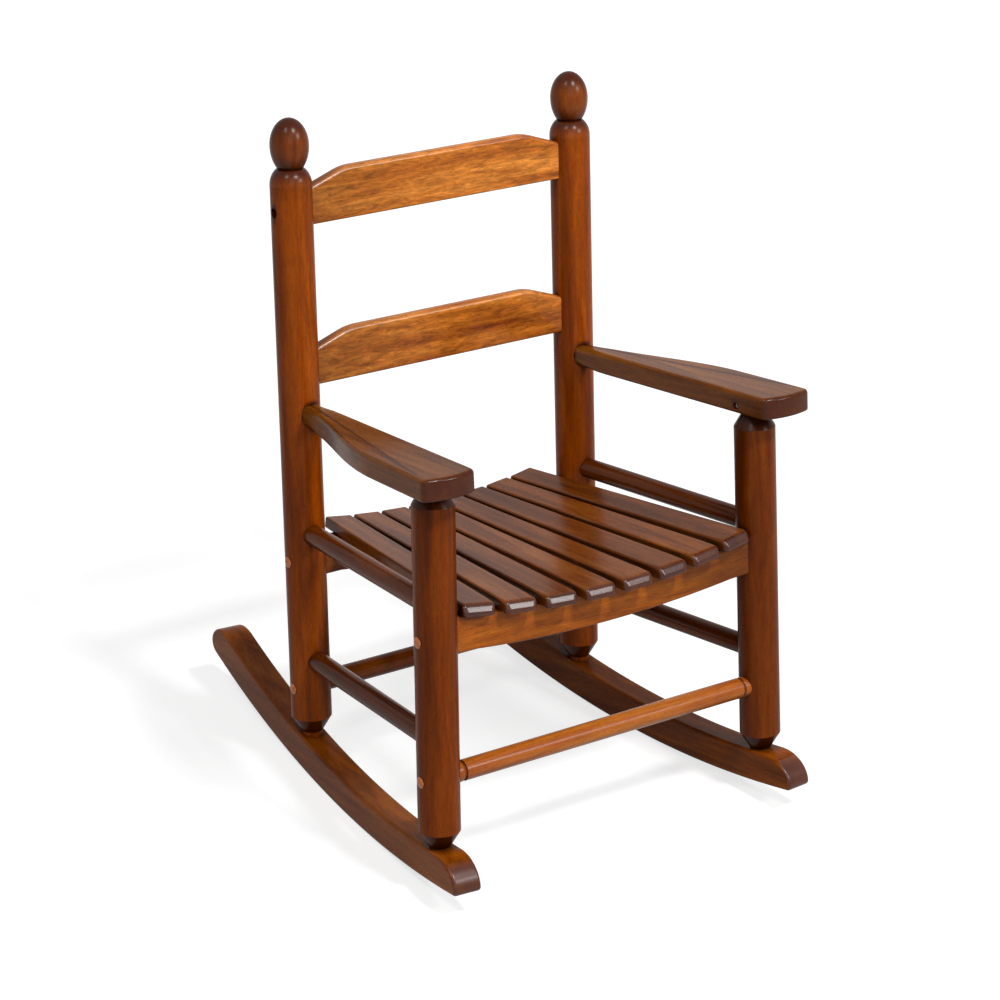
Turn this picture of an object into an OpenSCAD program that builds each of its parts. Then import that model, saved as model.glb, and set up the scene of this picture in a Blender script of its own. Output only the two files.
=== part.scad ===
// Child's rocking chair with a slatted seat.
// Four turned posts stand on two curved rockers. Round stretchers, dished rails and shaped back
// slats join the posts, eight tapered slats make a fanned and dished seat, and two shaped arm
// boards run from the tops of the front posts into the rear posts. Millimetres and degrees.
// The pieces are drawn in the seat frame, which is square to the seat. Its height is measured
// from the lowest point of the rolling edge and its depth from the front posts. at_rest() leans
// that frame back to where the chair stands still on the floor, +Z up and the front at -Y.

/* [Stance] */
// Backward lean of the seat frame when the chair stands still
rest_tilt = 7.2; // [6:0.1:8.5]

/* [Posts] */
// Diameter of all four turned posts
post_d = 35; // [33:0.5:37]
// Distance between the front posts, at the lower side stretchers
front_gauge = 330; // [324:1:345]
// Distance between the rear posts, at the lower side stretchers
rear_gauge = 285; // [280:1:295]
// Distance from the front posts back to the rear posts, at the lower side stretchers
post_spacing = 230; // [224:1:240]
// Inward lean of each front post
front_splay = 1; // [0.6:0.1:1.2]
// Inward lean of each rear post
rear_splay = 0.2; // [0:0.1:0.4]
// Forward lean of the rear posts
rear_lean = 0.6; // [0.3:0.1:0.9]
// Height of the finials' tips
finial_tip_h = 588; // [584:1:600]
// Height of an egg finial above its neck
finial_h = 42; // [40:1:44]
// Largest diameter of an egg finial
finial_d = 32.5; // [30:0.5:34]
// Diameter of the neck under a finial
neck_d = 21; // [18:0.5:24]
// Height of the rounded shoulder under the neck
shoulder_h = 13; // [11:1:14]
// Width of the flat ledge between the shoulder and the neck
neck_ledge = 0.9; // [0.5:0.1:1.4]
// Length of the taper at each foot and under each arm
taper_h = 14; // [12:0.5:15]
// Diameter of the round tenons at the post ends
post_tenon_d = 18; // [16:0.5:19]

/* [Rockers] */
// Radius of the rolling edge
rocker_r = 948; // [900:4:1000]
// Depth of a rocker board over its lowest point
rocker_h = 28.6; // [28:0.2:32]
// Gain in depth towards the rear, for each millimetre of length
rocker_flare = 0.009; // [0:0.001:0.012]
// Thickness of a rocker board
rocker_t = 25; // [24:0.5:28]
// Distance of the rolling edge's lowest point behind the front posts
rocker_low = 47.4; // [40:0.2:55]
// Length of the rocker in front of its lowest point
rocker_nose = 95; // [85:1:105]
// Length of the rocker behind its lowest point
rocker_tail = 376; // [355:1:395]
// Length over which the top of the nose and of the tail is rounded down
rocker_round = 30; // [20:1:34]

/* [Seat] */
// Height of the middle of the seat
seat_h = 225.6; // [222:0.2:228]
// Slope of the outermost slats towards the middle
seat_dish = 6.4; // [4:0.1:7]
// Thickness of a seat slat
slat_t = 10; // [8:0.5:11]
// Width of a seat slat at its front end
slat_front_w = 29.6; // [26:0.2:30]
// Width of a seat slat at its rear end
slat_rear_w = 24.4; // [22:0.2:25]
// Distance between neighbouring slats at the front rail
slat_pitch_front = 36.9; // [36:0.1:37.2]
// Distance between neighbouring slats at the rear rail
slat_pitch_rear = 28.4; // [28:0.1:28.8]
// Reach of the middle slats in front of the front posts' axes
seat_front = 28; // [24:1:34]
// How much less far the outermost slats reach forward
seat_front_bow = 12; // [8:1:14]
// Reach of the middle slats behind the rear rail
seat_rear = 17; // [13:1:20]
// How much further the outermost slats reach back
seat_rear_bow = 4; // [0:1:6]
// Height of the dished front and rear rails
rail_h = 30; // [28:0.5:32]
// Thickness of the front and rear rails
rail_t = 16; // [14:0.5:18]
// Distance of the rail tenons' middle below the middle of the seat
rail_tenon_drop = 17.6; // [16.6:0.2:19]
// Height of a rail tenon
rail_tenon_h = 18; // [14:0.5:18]
// Thickness of a rail tenon
rail_tenon_t = 9; // [7:0.5:11]

/* [Stretchers] */
// Diameter of the round stretchers
dowel_d = 17.6; // [16:0.2:18]
// Depth to which a stretcher is let into a post
dowel_seat = 20; // [17:0.5:22]
// Height of the lower side stretchers
side_low_h = 119; // [117:0.5:123]
// Height of the upper side stretchers above the rail tenons' middle
side_up_rise = 25.4; // [25:0.2:28]
// Height of the front stretcher
front_low_h = 89; // [84:1:93]
// Height of the rear stretcher
rear_low_h = 93; // [88:1:94]
// Depth of the turned grooves near the ends of the front stretcher
groove_depth = 1.4; // [0.8:0.1:2]

/* [Back] */
// Distance of the upper back slat's bottom edge below the finials' tips
upper_back_drop = 91; // [89:1:98]
// Distance from the lower back slat's bottom edge up to the upper one's
back_spacing = 137; // [130:1:140]
// Width of a back slat at its middle
back_w = 43.8; // [42:0.2:45]
// Thickness of a back slat
back_t = 12; // [10:0.5:14]
// Half length of the straight part of a back slat's top edge
back_flat = 83; // [78:1:90]
// Radius of the curve from there into the sloping end
back_r = 50; // [35:1:60]
// Slope of a back slat's top edge at its ends
back_slope = 19; // [14:0.5:22]
// Depth to which a back slat is let into a post
back_seat = 10; // [8:0.5:12]

/* [Arms] */
// Height of an arm's underside at the front post
arm_h = 334; // [332:0.5:337]
// Thickness of an arm board
arm_t = 18.4; // [17:0.2:19]
// Rise of the arms towards the front
arm_rise = 1.3; // [1:0.1:1.6]
// Reach of an arm in front of its front post's axis
arm_front = 39.4; // [35:0.2:43]
// Bow of an arm's front edge
arm_bow = 5.5; // [4:0.5:7]
// Radius of an arm's front corners
arm_corner_r = 7; // [5:0.5:9]
// Distance of an arm's inner edge from the middle of the chair, at the front post
arm_inner = 141.5; // [140:0.5:143]
// Distance of an arm's outer edge from the middle of the chair, at the front post
arm_outer = 190.6; // [186:0.2:196]
// Distance behind the front post at which the outer edge begins to sweep in
arm_sweep_start = 48; // [42:1:56]
// Length of the S-shaped sweep of the outer edge
arm_sweep = 172; // [160:1:180]
// Width of an arm's rear tenon
arm_tenon_w = 16.4; // [15:0.2:17]
// Depth to which an arm is let into its rear post
arm_seat = 14; // [11:0.5:16]

/* [Fastenings] */
// Shank diameter of the wood screws
screw_d = 4; // [3.6:0.1:4.4]
// Head diameter of the wood screws
screw_head_d = 7.6; // [7:0.1:8]
// Length of the screws through the posts and rockers
post_screw_l = 38; // [34:1:40]
// Length of the seat screws
seat_screw_l = 28; // [26:0.5:30]
// Length of the screws that lock the arms on the front posts
lock_screw_l = 19; // [17:0.5:20]
// Diameter of the counterbores over the screw heads
counterbore_d = 8.4; // [8.2:0.1:9]
// Depth of the counterbores in the posts and rockers
counterbore_depth = 7; // [6:0.5:8]
// Diameter of a button plug's cap
plug_cap_d = 9.6; // [9.2:0.1:11]
// Height of a button plug's cap
plug_cap_h = 1.6; // [1:0.1:2.4]

/* [Hidden] */

$fn = 64;

// Clearance round tenons, stretchers and screw shanks, on each side
fit = 0.1;
// Clearance of a face that rests on another
rest_fit = 0.15;
// Overrun of a cut past the face that it opens
cut = 1;

post_r = post_d/2;
stain = [0.50, 0.23, 0.07];
stain_back = [0.70, 0.41, 0.18];
stain_dark = [0.42, 0.23, 0.12];
stain_seat = [0.40, 0.21, 0.10];
stain_plug = [0.64, 0.32, 0.16];
steel = [0.72, 0.70, 0.66];

// Where the posts' axes pass a height h
function front_x(h) = front_gauge/2 - (h - side_low_h)*tan(front_splay);
function rear_x(h) = rear_gauge/2 - (h - side_low_h)*tan(rear_splay);
function rear_y(h) = post_spacing - (h - side_low_h)*tan(rear_lean);

// Points of an arc with half axes rx and ry
function arc(cx, cy, rx, ry, from, to, steps) =
  [for (i = [0 : steps]) let (a = from + (to - from)*i/steps) [cx + rx*cos(a), cy + ry*sin(a)]];

function rise(x, r) = r - sqrt(r*r - x*x);

// Rockers: each runs in plan from the foot of its front post to the foot of its rear post
foot_x = front_x(rocker_h);
toe = atan((foot_x - rear_x(rocker_h))/rear_y(rocker_h));
low_x = foot_x - rocker_low*tan(toe);
tail_under_r = 11;
nose_under_r = 4;
foot_tenon = 15;
function rim_x(y) = (y - rocker_low)/cos(toe);
function depth_at(s) = rocker_h + rocker_flare*s;
function depth_over(x) = depth_at(asin(x/(rocker_r - rocker_h))*PI/180*rocker_r);
function rim_h(x, r) = rocker_r - sqrt(r*r - x*x);
function rocker_top(y) = rim_h(rim_x(y), rocker_r - depth_over(rim_x(y)));
function rocker_under(y) = rim_h(rim_x(y), rocker_r);

// Bends a point of a straight board, s along its edge and n above it, onto the rolling edge
function bent(s, n) =
  let (a = s/rocker_r*180/PI) [(rocker_r - n)*sin(a), rocker_r - (rocker_r - n)*cos(a)];

function straight_rocker() =
  let (under_from = nose_under_r - rocker_nose, under_to = rocker_tail - tail_under_r,
       top_from = rocker_round - rocker_nose, top_to = rocker_tail - rocker_round,
       under_steps = 60, top_steps = 48)
  concat(
    [for (i = [1 : under_steps - 1]) [under_from + (under_to - under_from)*i/under_steps, 0]],
    arc(under_to, tail_under_r, tail_under_r, tail_under_r, -90, 0, 6),
    arc(top_to, tail_under_r, rocker_round, depth_at(top_to) - tail_under_r, 8, 90, 9),
    [for (i = [1 : top_steps - 1]) let (s = top_to + (top_from - top_to)*i/top_steps)
      [s, depth_at(s)]],
    arc(top_from, nose_under_r, rocker_round, depth_at(top_from) - nose_under_r, 90, 176, 14),
    arc(under_from, nose_under_r, nose_under_r, nose_under_r, 180, 270, 5)
  );
rocker_outline = [for (p = straight_rocker()) bent(p[0], p[1])];

// Reach of the rockers at rest, measured from the centre of the rolling edge
rest_y = [for (p = rocker_outline)
  p[0]*cos(toe)*cos(rest_tilt) + (p[1] - rocker_r)*sin(rest_tilt)];
rest_z = [for (p = rocker_outline)
  (p[1] - rocker_r)*cos(rest_tilt) - p[0]*cos(toe)*sin(rest_tilt)];
rest_low = min(rest_z) - rocker_t/2*sin(toe)*sin(rest_tilt);
rest_mid = (min(rest_y) + max(rest_y))/2;

// Heights that follow from the seat and the finials
rail_tenon_mid = seat_h - rail_tenon_drop;
side_up_h = rail_tenon_mid + side_up_rise;
upper_back_h = finial_tip_h - upper_back_drop;
lower_back_h = upper_back_h - back_spacing;

// Seat: the dishes of both rails lie on one cone, so that every flat slat rests on both
slats = 8;
steps_out = (slats - 1)/2;
under_h = seat_h - slat_t;
rail_top_h = under_h - rest_fit;
front_dish_r = slat_pitch_front*steps_out/sin(seat_dish);
rear_dish_r = slat_pitch_rear*steps_out/sin(seat_dish);
rear_rail_y = rear_y(rail_tenon_mid);
rail_housing = 4;
rail_seat = 15;
rail_ear = 13.5;
function slat_out(i) = (i - (slats + 1)/2)/steps_out;
function slat_roll(i) = asin(slat_out(i)*sin(seat_dish));

// Back slats: fall of the top edge at a distance x from the middle, level inside the posts
function back_fall(x, end_x) =
  let (out = max(0, min(x, end_x) - back_flat), curve = back_r*sin(back_slope))
  out < curve ? rise(out, back_r) : rise(curve, back_r) + (out - curve)*tan(back_slope);
back_screw_up = 14;

// Arms: the outer edge sweeps in until only the rear tenon's width is left
arm_run_in = 0.044;
arm_run_out = 0.064;
arm_back = rear_y(arm_h) - post_r - 3;
arm_tenon_h = arm_t - 1;
arm_bore = 12;
lock_h = arm_t/2 - 3;
lock_head_d = 5;
lock_sink = 4;
lock_d = 3;
function arm_in(y) = arm_inner - y*arm_run_in;
function sweep_part(y) = (1 - cos(180*min(1, max(0, (y - arm_sweep_start)/arm_sweep))))/2;
arm_sweep_in =
  (arm_outer - arm_back*arm_run_out - arm_in(arm_back) - arm_tenon_w)/sweep_part(arm_back);
function arm_out(y) = arm_outer - y*arm_run_out - arm_sweep_in*sweep_part(y);

// Post turnings
egg_r = finial_d/2;
neck_r = neck_d/2;
neck_h = finial_tip_h - finial_h;
egg_mid_h = neck_h + finial_h*0.46;
egg_down = (egg_mid_h - neck_h)/sqrt(1 - pow(neck_r/egg_r, 2));
egg_low_a = asin((egg_mid_h - neck_h)/egg_down);
shoulder_in = post_r - neck_r - neck_ledge;
shoulder_r = (pow(shoulder_in, 2) + pow(shoulder_h, 2))/(2*shoulder_in);
shoulder_a = asin(shoulder_h/shoulder_r);

// Fastenings
head_h = 2.4;
head_sink = counterbore_depth - head_h - rest_fit;
seat_screw_in = 7;

// Places the seat frame on the floor
module at_rest() {
  translate([0, -rest_mid, -rest_low])
    rotate([-rest_tilt, 0, 0])
      translate([0, -rocker_low, -rocker_r])
        children();
}

// Draws on the right-hand side for 1 and mirrored on the left-hand side for -1
module on_side(side) {
  if (side > 0) children();
  else mirror([1, 0, 0]) children();
}

module at_front_post() {
  translate([front_gauge/2, 0, side_low_h])
    rotate([0, -front_splay, 0])
      translate([0, 0, -side_low_h])
        children();
}

module at_rear_post() {
  translate([rear_gauge/2, post_spacing, side_low_h])
    rotate([rear_lean, -rear_splay, 0])
      translate([0, 0, -side_low_h])
        children();
}

// Plane through both rear posts
module at_back() {
  translate([0, post_spacing, side_low_h])
    rotate([rear_lean, 0, 0])
      translate([0, 0, -side_low_h])
        children();
}

// Plane of the arms' undersides
module at_arm() {
  translate([0, 0, arm_h])
    rotate([-arm_rise, 0, 0])
      children();
}

// Middle of slat i's underside on a rail with dish radius r
module at_dish(i, r, y) {
  translate([r*sin(slat_roll(i)), y, under_h + rise(r*sin(slat_roll(i)), r)])
    rotate([0, -slat_roll(i), 0])
      children();
}

// Round bar along X
module bar_x(from, to, r) {
  translate([from, 0, 0])
    rotate([0, 90, 0])
      cylinder(r = r, h = to - from);
}

// Board that stands upright across the chair, centred on its own plane
module upright_board(t) {
  rotate([90, 0, 0])
    linear_extrude(height = t, center = true)
      children();
}

// Round-headed screw along -Z, its head's outer face at zero
module wood_screw(length, shank_d, head_d) {
  point = 5;
  slot = 0.16*head_d;
  difference() {
    rotate_extrude()
      polygon([
        [0, 0], [head_d*0.36, 0], [head_d/2, -head_h*0.4], [head_d/2, -head_h],
        [shank_d/2, -head_h], [shank_d/2, point - length], [0.3, -length], [0, -length]
      ]);
    for (turn = [0, 90])
      rotate([0, 0, turn])
        translate([-head_d*0.3, -slot/2, -head_h*0.5])
          cube([head_d*0.6, slot, head_h]);
  }
}

// Counterbore and shank hole for a screw that enters a post at height zero from its outer side
module post_screw_bore(x) {
  bar_x(x + post_r - counterbore_depth, x + post_r + cut, counterbore_d/2);
  bar_x(head_face(x) - post_screw_l - cut, x + post_r, screw_d/2 + fit);
}

// Distance of a post screw's outer head face from the middle of the chair
function head_face(x) = x + post_r - head_sink;

module post_screw(x) {
  translate([head_face(x), 0, 0])
    rotate([0, 90, 0])
      wood_screw(post_screw_l, screw_d, screw_head_d);
}

// Domed plug over a post screw
module button_plug(x) {
  cap_r = plug_cap_d/2;
  cap_from = head_sink;
  stem_r = counterbore_d/2 - fit;
  dome_r = (cap_r*cap_r + plug_cap_h*plug_cap_h)/(2*plug_cap_h);
  translate([head_face(x) + rest_fit, 0, 0])
    rotate([0, 90, 0])
      rotate_extrude()
        polygon(concat(
          [[0, 0], [stem_r, 0], [stem_r, cap_from], [cap_r, cap_from]],
          [for (i = [1 : 7]) let (r = cap_r*(1 - i/8))
            [r, cap_from + plug_cap_h - rise(r, dome_r)]],
          [[0, cap_from + plug_cap_h]]
        ));
}

// Screw holes in the end of a front or rear cross member at height zero
module cross_pilots(x) {
  for (side = [-1, 1])
    on_side(side)
      bar_x(head_face(x) - post_screw_l - cut, x + post_r, screw_d/2 + fit);
}

// Counterbore and shank hole under a post's foot, in the post's own axis
module foot_screw_bore(under) {
  translate([0, 0, under - counterbore_d])
    cylinder(d = counterbore_d, h = counterbore_d + counterbore_depth);
  translate([0, 0, under])
    cylinder(d = screw_d + 2*fit, h = head_sink + post_screw_l + cut);
}

module foot_screw(under) {
  translate([0, 0, under + head_sink])
    rotate([180, 0, 0])
      wood_screw(post_screw_l, screw_d, screw_head_d);
}

// Outline of a post's foot: a round tenon in the rocker, then a taper up to the full diameter
function foot_profile(top, taper_from) = [
  [0, top - foot_tenon], [post_tenon_d/2, top - foot_tenon],
  [post_tenon_d/2, taper_from], [post_r, taper_from + taper_h]
];

module front_post() {
  arm_under = arm_h - rest_fit - post_tenon_d/2*tan(arm_rise);
  tenon_top = arm_h + arm_bore - fit;
  difference() {
    at_front_post()
      difference() {
        rotate_extrude()
          polygon(concat(foot_profile(rocker_top(0), rocker_top(-post_tenon_d/2) + rest_fit), [
            [post_r, arm_under - taper_h], [post_tenon_d/2, arm_under],
            [post_tenon_d/2, tenon_top], [0, tenon_top]
          ]));
        foot_screw_bore(rocker_under(0));
      }
    side_bar(side_low_h, fit);
    side_bar(side_up_h, fit);
    translate([0, 0, front_low_h]) {
      cross_bar(front_x(front_low_h), fit);
      post_screw_bore(front_x(front_low_h));
    }
    rail_form(front_dish_r, front_x(rail_tenon_mid), fit);
    translate([0, 0, rail_tenon_mid]) post_screw_bore(front_x(rail_tenon_mid));
    lock_screw_bore();
  }
}

module rear_post() {
  foot_y = rear_y(rocker_h);
  finial = concat(
    [for (i = [0 : 10]) let (a = shoulder_a*i/10)
      [post_r - shoulder_r*(1 - cos(a)), neck_h - shoulder_h + shoulder_r*sin(a)]],
    [for (i = [0 : 9]) let (a = egg_low_a*(1 - i/9))
      [egg_r*cos(a), egg_mid_h - egg_down*sin(a)]],
    [for (i = [1 : 15]) let (a = 90*i/16)
      [egg_r*cos(a), egg_mid_h + (finial_tip_h - egg_mid_h)*sin(a)]],
    [[0, finial_tip_h]]
  );
  difference() {
    at_rear_post()
      difference() {
        rotate_extrude()
          polygon(concat(
            foot_profile(rocker_top(foot_y), rocker_top(foot_y + post_tenon_d/2) + rest_fit),
            finial
          ));
        foot_screw_bore(rocker_under(foot_y));
      }
    side_bar(side_low_h, fit);
    side_bar(side_up_h, fit);
    translate([0, rear_y(rear_low_h), rear_low_h]) {
      cross_bar(rear_x(rear_low_h), fit);
      post_screw_bore(rear_x(rear_low_h));
    }
    translate([0, rear_rail_y, 0])
      rail_form(rear_dish_r, rear_x(rail_tenon_mid), fit);
    translate([0, rear_rail_y, rail_tenon_mid]) post_screw_bore(rear_x(rail_tenon_mid));
    back_slat_end(lower_back_h, fit);
    back_slat_end(upper_back_h, fit);
    at_back()
      translate([0, 0, upper_back_h + back_screw_up])
        post_screw_bore(rear_x(upper_back_h + back_screw_up));
    arm_tenon(fit);
  }
}

module rocker() {
  difference() {
    translate([low_x, rocker_low, 0])
      rotate([0, 0, toe])
        rotate([90, 0, 90])
          linear_extrude(height = rocker_t, center = true)
            polygon(rocker_outline);
    at_front_post() foot_socket(rocker_top(0), rocker_under(0));
    at_rear_post() foot_socket(rocker_top(rear_y(rocker_h)), rocker_under(rear_y(rocker_h)));
  }
}

// Socket for a post's foot tenon and the screw below it, in the post's own axis
module foot_socket(top, under) {
  translate([0, 0, top - foot_tenon - fit])
    cylinder(r = post_tenon_d/2 + fit, h = rocker_h);
  foot_screw_bore(under);
}

// Side stretcher between the axes of the right-hand posts, grown by a gap
module side_bar(h, gap) {
  inset = post_r - dowel_seat - gap;
  run_in = front_x(h) - rear_x(h);
  translate([front_x(h), 0, h])
    rotate([-90, 0, atan(run_in/rear_y(h))])
      translate([0, 0, inset])
        cylinder(r = dowel_d/2 + gap, h = norm([run_in, rear_y(h)]) - 2*inset);
}

// Plain bar between posts at distance x from the middle, grown by a gap
module cross_bar(x, gap) {
  reach = x - post_r + dowel_seat + gap;
  bar_x(-reach, reach, dowel_d/2 + gap);
}

module front_stretcher() {
  x = front_x(front_low_h);
  reach = x - post_r + dowel_seat;
  groove_x = x - post_r - 4.5;
  r = dowel_d/2;
  low = r - groove_depth;
  // From the groove's inner lip over its floor to the rounded collar beside the post
  groove = [[r, -1.2], [low, -0.3], [low, 0.3], [r - 0.7, 0.9], [r - 0.2, 1.6], [r, 2.6]];
  translate([0, 0, front_low_h])
    difference() {
      rotate([0, 90, 0])
        rotate_extrude()
          polygon(concat(
            [[0, -reach], [r, -reach]],
            [for (i = [len(groove) - 1 : -1 : 0]) [groove[i][0], -groove_x - groove[i][1]]],
            [for (p = groove) [p[0], groove_x + p[1]]],
            [[r, reach], [0, reach]]
          ));
      cross_pilots(x);
    }
}

module rear_stretcher() {
  x = rear_x(rear_low_h);
  translate([0, rear_y(rear_low_h), rear_low_h])
    difference() {
      cross_bar(x, 0);
      cross_pilots(x);
    }
}

// Dished rail with its tenons between posts at distance x, grown by a gap
module rail_form(dish_r, x, gap) {
  reach = x - post_r + rail_housing + gap;
  ear = x - post_r - rail_ear;
  n = 32;
  upright_board(rail_t + 2*gap)
    polygon(concat(
      [for (i = [0 : n]) let (px = reach*(2*i/n - 1))
        [px, rail_top_h + gap + rise(px, dish_r)]],
      [for (i = [0 : n]) let (px = reach*(1 - 2*i/n))
        [px, rail_top_h - rail_h - gap + rise(min(abs(px), ear), dish_r + rail_h)]]
    ));
  for (side = [-1, 1])
    on_side(side)
      translate([x - post_r - cut, -rail_tenon_t/2 - gap, rail_tenon_mid - rail_tenon_h/2 - gap])
        cube([cut + rail_seat + gap, rail_tenon_t + 2*gap, rail_tenon_h + 2*gap]);
}

module seat_rail(dish_r, x, y) {
  difference() {
    translate([0, y, 0]) rail_form(dish_r, x, 0);
    translate([0, y, rail_tenon_mid]) cross_pilots(x);
    for (i = [1 : slats])
      at_dish(i, dish_r, y) seat_screw_bore();
  }
}

// Counterbore and shank hole of a seat screw, with the slat's underside at zero
module seat_screw_bore() {
  bearing = seat_screw_in + head_h + rest_fit - seat_screw_l;
  translate([0, 0, -2*rail_h])
    cylinder(d = counterbore_d, h = 2*rail_h + bearing);
  translate([0, 0, bearing - cut])
    cylinder(d = screw_d + 2*fit, h = seat_screw_in - bearing + 2*cut);
}

module seat_screws(dish_r, y) {
  for (i = [1 : slats])
    at_dish(i, dish_r, y)
      translate([0, 0, seat_screw_in - seat_screw_l])
        rotate([180, 0, 0])
          wood_screw(seat_screw_l, screw_d, screw_head_d);
}

// Tapered board i of the seat, rounded over at the front end
module seat_slat(i) {
  roll = slat_roll(i);
  narrowing = rear_dish_r - front_dish_r;
  drop = narrowing*(cos(roll) - 1);
  pitch = atan(drop/rear_rail_y);
  run = norm([rear_rail_y, drop]);
  fan = atan(narrowing*sin(roll)/run);
  front = (seat_front_bow*pow(slat_out(i), 2) - seat_front)/cos(fan);
  rear = (rear_rail_y + seat_rear + seat_rear_bow*pow(slat_out(i), 2))/cos(fan);
  nose_l = 6;
  nose_under = 1;
  nose_corner = 4;
  back_round = 2.5;
  widen = (slat_front_w - slat_rear_w)/(rear - front);
  half_rear = slat_rear_w/2 - widen*cut/2;
  side = slat_front_w/2 - nose_corner;
  side_y = front + nose_corner - 0.2;
  difference() {
    at_dish(i, front_dish_r, 0)
      rotate([pitch, 0, 0])
        rotate([0, 0, -fan])
          intersection() {
            translate([0, 0, -cut])
              linear_extrude(height = slat_t + 2*cut)
                polygon(concat(
                  arc(-side, side_y, nose_corner, nose_corner, 180, 270, 5),
                  arc(side, side_y, nose_corner, nose_corner, 270, 360, 5),
                  [[half_rear, rear + cut], [-half_rear, rear + cut]]
                ));
            rotate([90, 0, 90])
              linear_extrude(height = 2*slat_front_w, center = true)
                polygon(concat(
                  arc(front + nose_under, nose_under, nose_under, nose_under, 270, 180, 3),
                  arc(front + nose_l, nose_under, nose_l, slat_t - nose_under, 180, 90, 12),
                  arc(rear - back_round, slat_t - back_round, back_round, back_round, 90, 0, 5),
                  [[rear, 0]]
                ));
          }
    at_dish(i, front_dish_r, 0) seat_screw_bore();
    at_dish(i, rear_dish_r, rear_rail_y) seat_screw_bore();
  }
}

// Back slat whose straight top edge curves down into a slope at both ends
module back_slat(h) {
  end_x = rear_x(h) - post_r;
  reach = end_x + back_seat;
  n = 16;
  fall = [for (i = [0 : n]) let (x = back_flat + (end_x - back_flat)*i/n)
    [x, h + back_w - back_fall(x, end_x)]];
  top = concat(fall, [[reach, fall[n][1]]]);
  difference() {
    at_back()
      upright_board(back_t)
        polygon(concat(
          [[-reach, h], [reach, h]],
          [for (i = [len(top) - 1 : -1 : 0]) top[i]],
          [for (p = top) [-p[0], p[1]]]
        ));
    children();
  }
}

// Right-hand end of a back slat, grown by a gap
module back_slat_end(h, gap) {
  end_x = rear_x(h) - post_r;
  end_h = back_w - back_fall(end_x, end_x);
  at_back()
    translate([end_x - cut, -back_t/2 - gap, h - gap])
      cube([cut + back_seat + gap, back_t + 2*gap, end_h + 2*gap]);
}

// Outline of the right-hand arm board, seen from above
function arm_outline() =
  let (n = 40, y_in = arm_corner_r - arm_front,
       mid_x = (arm_in(y_in) + arm_out(y_in))/2, half = (arm_out(y_in) - arm_in(y_in))/2,
       front_r = (half*half + arm_bow*arm_bow)/(2*arm_bow),
       corner_a = asin((half - arm_corner_r)/(front_r - arm_corner_r)),
       corner_y = front_r - arm_front - (front_r - arm_corner_r)*cos(corner_a))
  concat(
    [for (i = [0 : n]) let (y = arm_back + (corner_y - arm_back)*i/n) [arm_out(y), y]],
    arc(mid_x + half - arm_corner_r, corner_y, arm_corner_r, arm_corner_r, -12, -90 + corner_a, 7),
    [for (i = [1 : 9]) let (a = corner_a*(1 - i/5))
      [mid_x + front_r*sin(a), front_r - arm_front - front_r*cos(a)]],
    arc(mid_x - half + arm_corner_r, corner_y, arm_corner_r, arm_corner_r, -90 - corner_a, -168, 7),
    [[arm_in(corner_y), corner_y], [arm_in(arm_back), arm_back]]
  );

// Rear tenon of the right-hand arm, round above and below, grown by a gap
module arm_tenon(gap) {
  overlap = 8;
  r = arm_tenon_w/2 - 0.1 + gap;
  up = arm_tenon_h/2 - arm_tenon_w/2;
  at_arm()
    translate([(arm_in(arm_back) + arm_out(arm_back))/2, arm_back - overlap, arm_t/2])
      rotate([-90, 0, 0])
        linear_extrude(height = overlap + 3 + arm_seat + gap)
          polygon(concat(arc(0, up, r, r, 0, 180, 16), arc(0, -up, r, r, 180, 360, 16)));
}

module arm() {
  top_round = 5;
  difference() {
    union() {
      at_arm()
        intersection() {
          linear_extrude(height = arm_t)
            polygon(arm_outline());
          rotate([90, 0, 90])
            linear_extrude(height = arm_outer + 2*arm_t)
              polygon(concat(
                [[-2*arm_front, -cut], [arm_back, -cut]],
                arc(arm_back - top_round, arm_t - top_round, top_round, top_round, 0, 80, 6),
                [[arm_back - 2*top_round, arm_t + cut], [-2*arm_front, arm_t + cut]]
              ));
        }
      arm_tenon(0);
    }
    at_front_post()
      translate([0, 0, arm_h - rocker_h])
        cylinder(r = post_tenon_d/2 + fit, h = rocker_h + arm_bore);
    lock_screw_bore();
  }
}

// Sunk hole in the arm's inner edge and the screw hole from it into the post's tenon
module lock_screw_bore() {
  at_arm()
    translate([arm_inner, 0, lock_h]) {
      bar_x(-cut, lock_sink + rest_fit, lock_head_d/2 + 2*fit);
      bar_x(0, lock_sink - head_h + lock_screw_l + cut, lock_d/2 + fit);
    }
}

module lock_screws() {
  for (side = [-1, 1])
    on_side(side)
      at_arm()
        translate([arm_inner + lock_sink - head_h, 0, lock_h])
          rotate([0, -90, 0])
            wood_screw(lock_screw_l, lock_d, lock_head_d);
}

module upper_back_slat() {
  h = upper_back_h + back_screw_up;
  back_slat(upper_back_h)
    at_back()
      translate([0, 0, h]) cross_pilots(rear_x(h));
}

module upper_back_slat_screws() {
  h = upper_back_h + back_screw_up;
  for (side = [-1, 1])
    on_side(side)
      at_back()
        translate([0, 0, h]) post_screw(rear_x(h));
}

// Places children on both sides at the cross member fastenings of the front posts
module front_fastenings(part) {
  for (side = [-1, 1], h = [front_low_h, rail_tenon_mid])
    on_side(side)
      translate([0, 0, h])
        if (part == "plug") button_plug(front_x(h));
        else post_screw(front_x(h));
}

module rear_fastenings(part) {
  for (side = [-1, 1], spot = [[rear_y(rear_low_h), rear_low_h], [rear_rail_y, rail_tenon_mid]])
    on_side(side)
      translate([0, spot[0], spot[1]])
        if (part == "plug") button_plug(rear_x(spot[1]));
        else post_screw(rear_x(spot[1]));
}

module foot_screws() {
  for (side = [-1, 1])
    on_side(side) {
      at_front_post() foot_screw(rocker_under(0));
      at_rear_post() foot_screw(rocker_under(rear_y(rocker_h)));
    }
}

module rear_post_left() {
  color(stain) at_rest() on_side(-1) rear_post();
}

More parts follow.
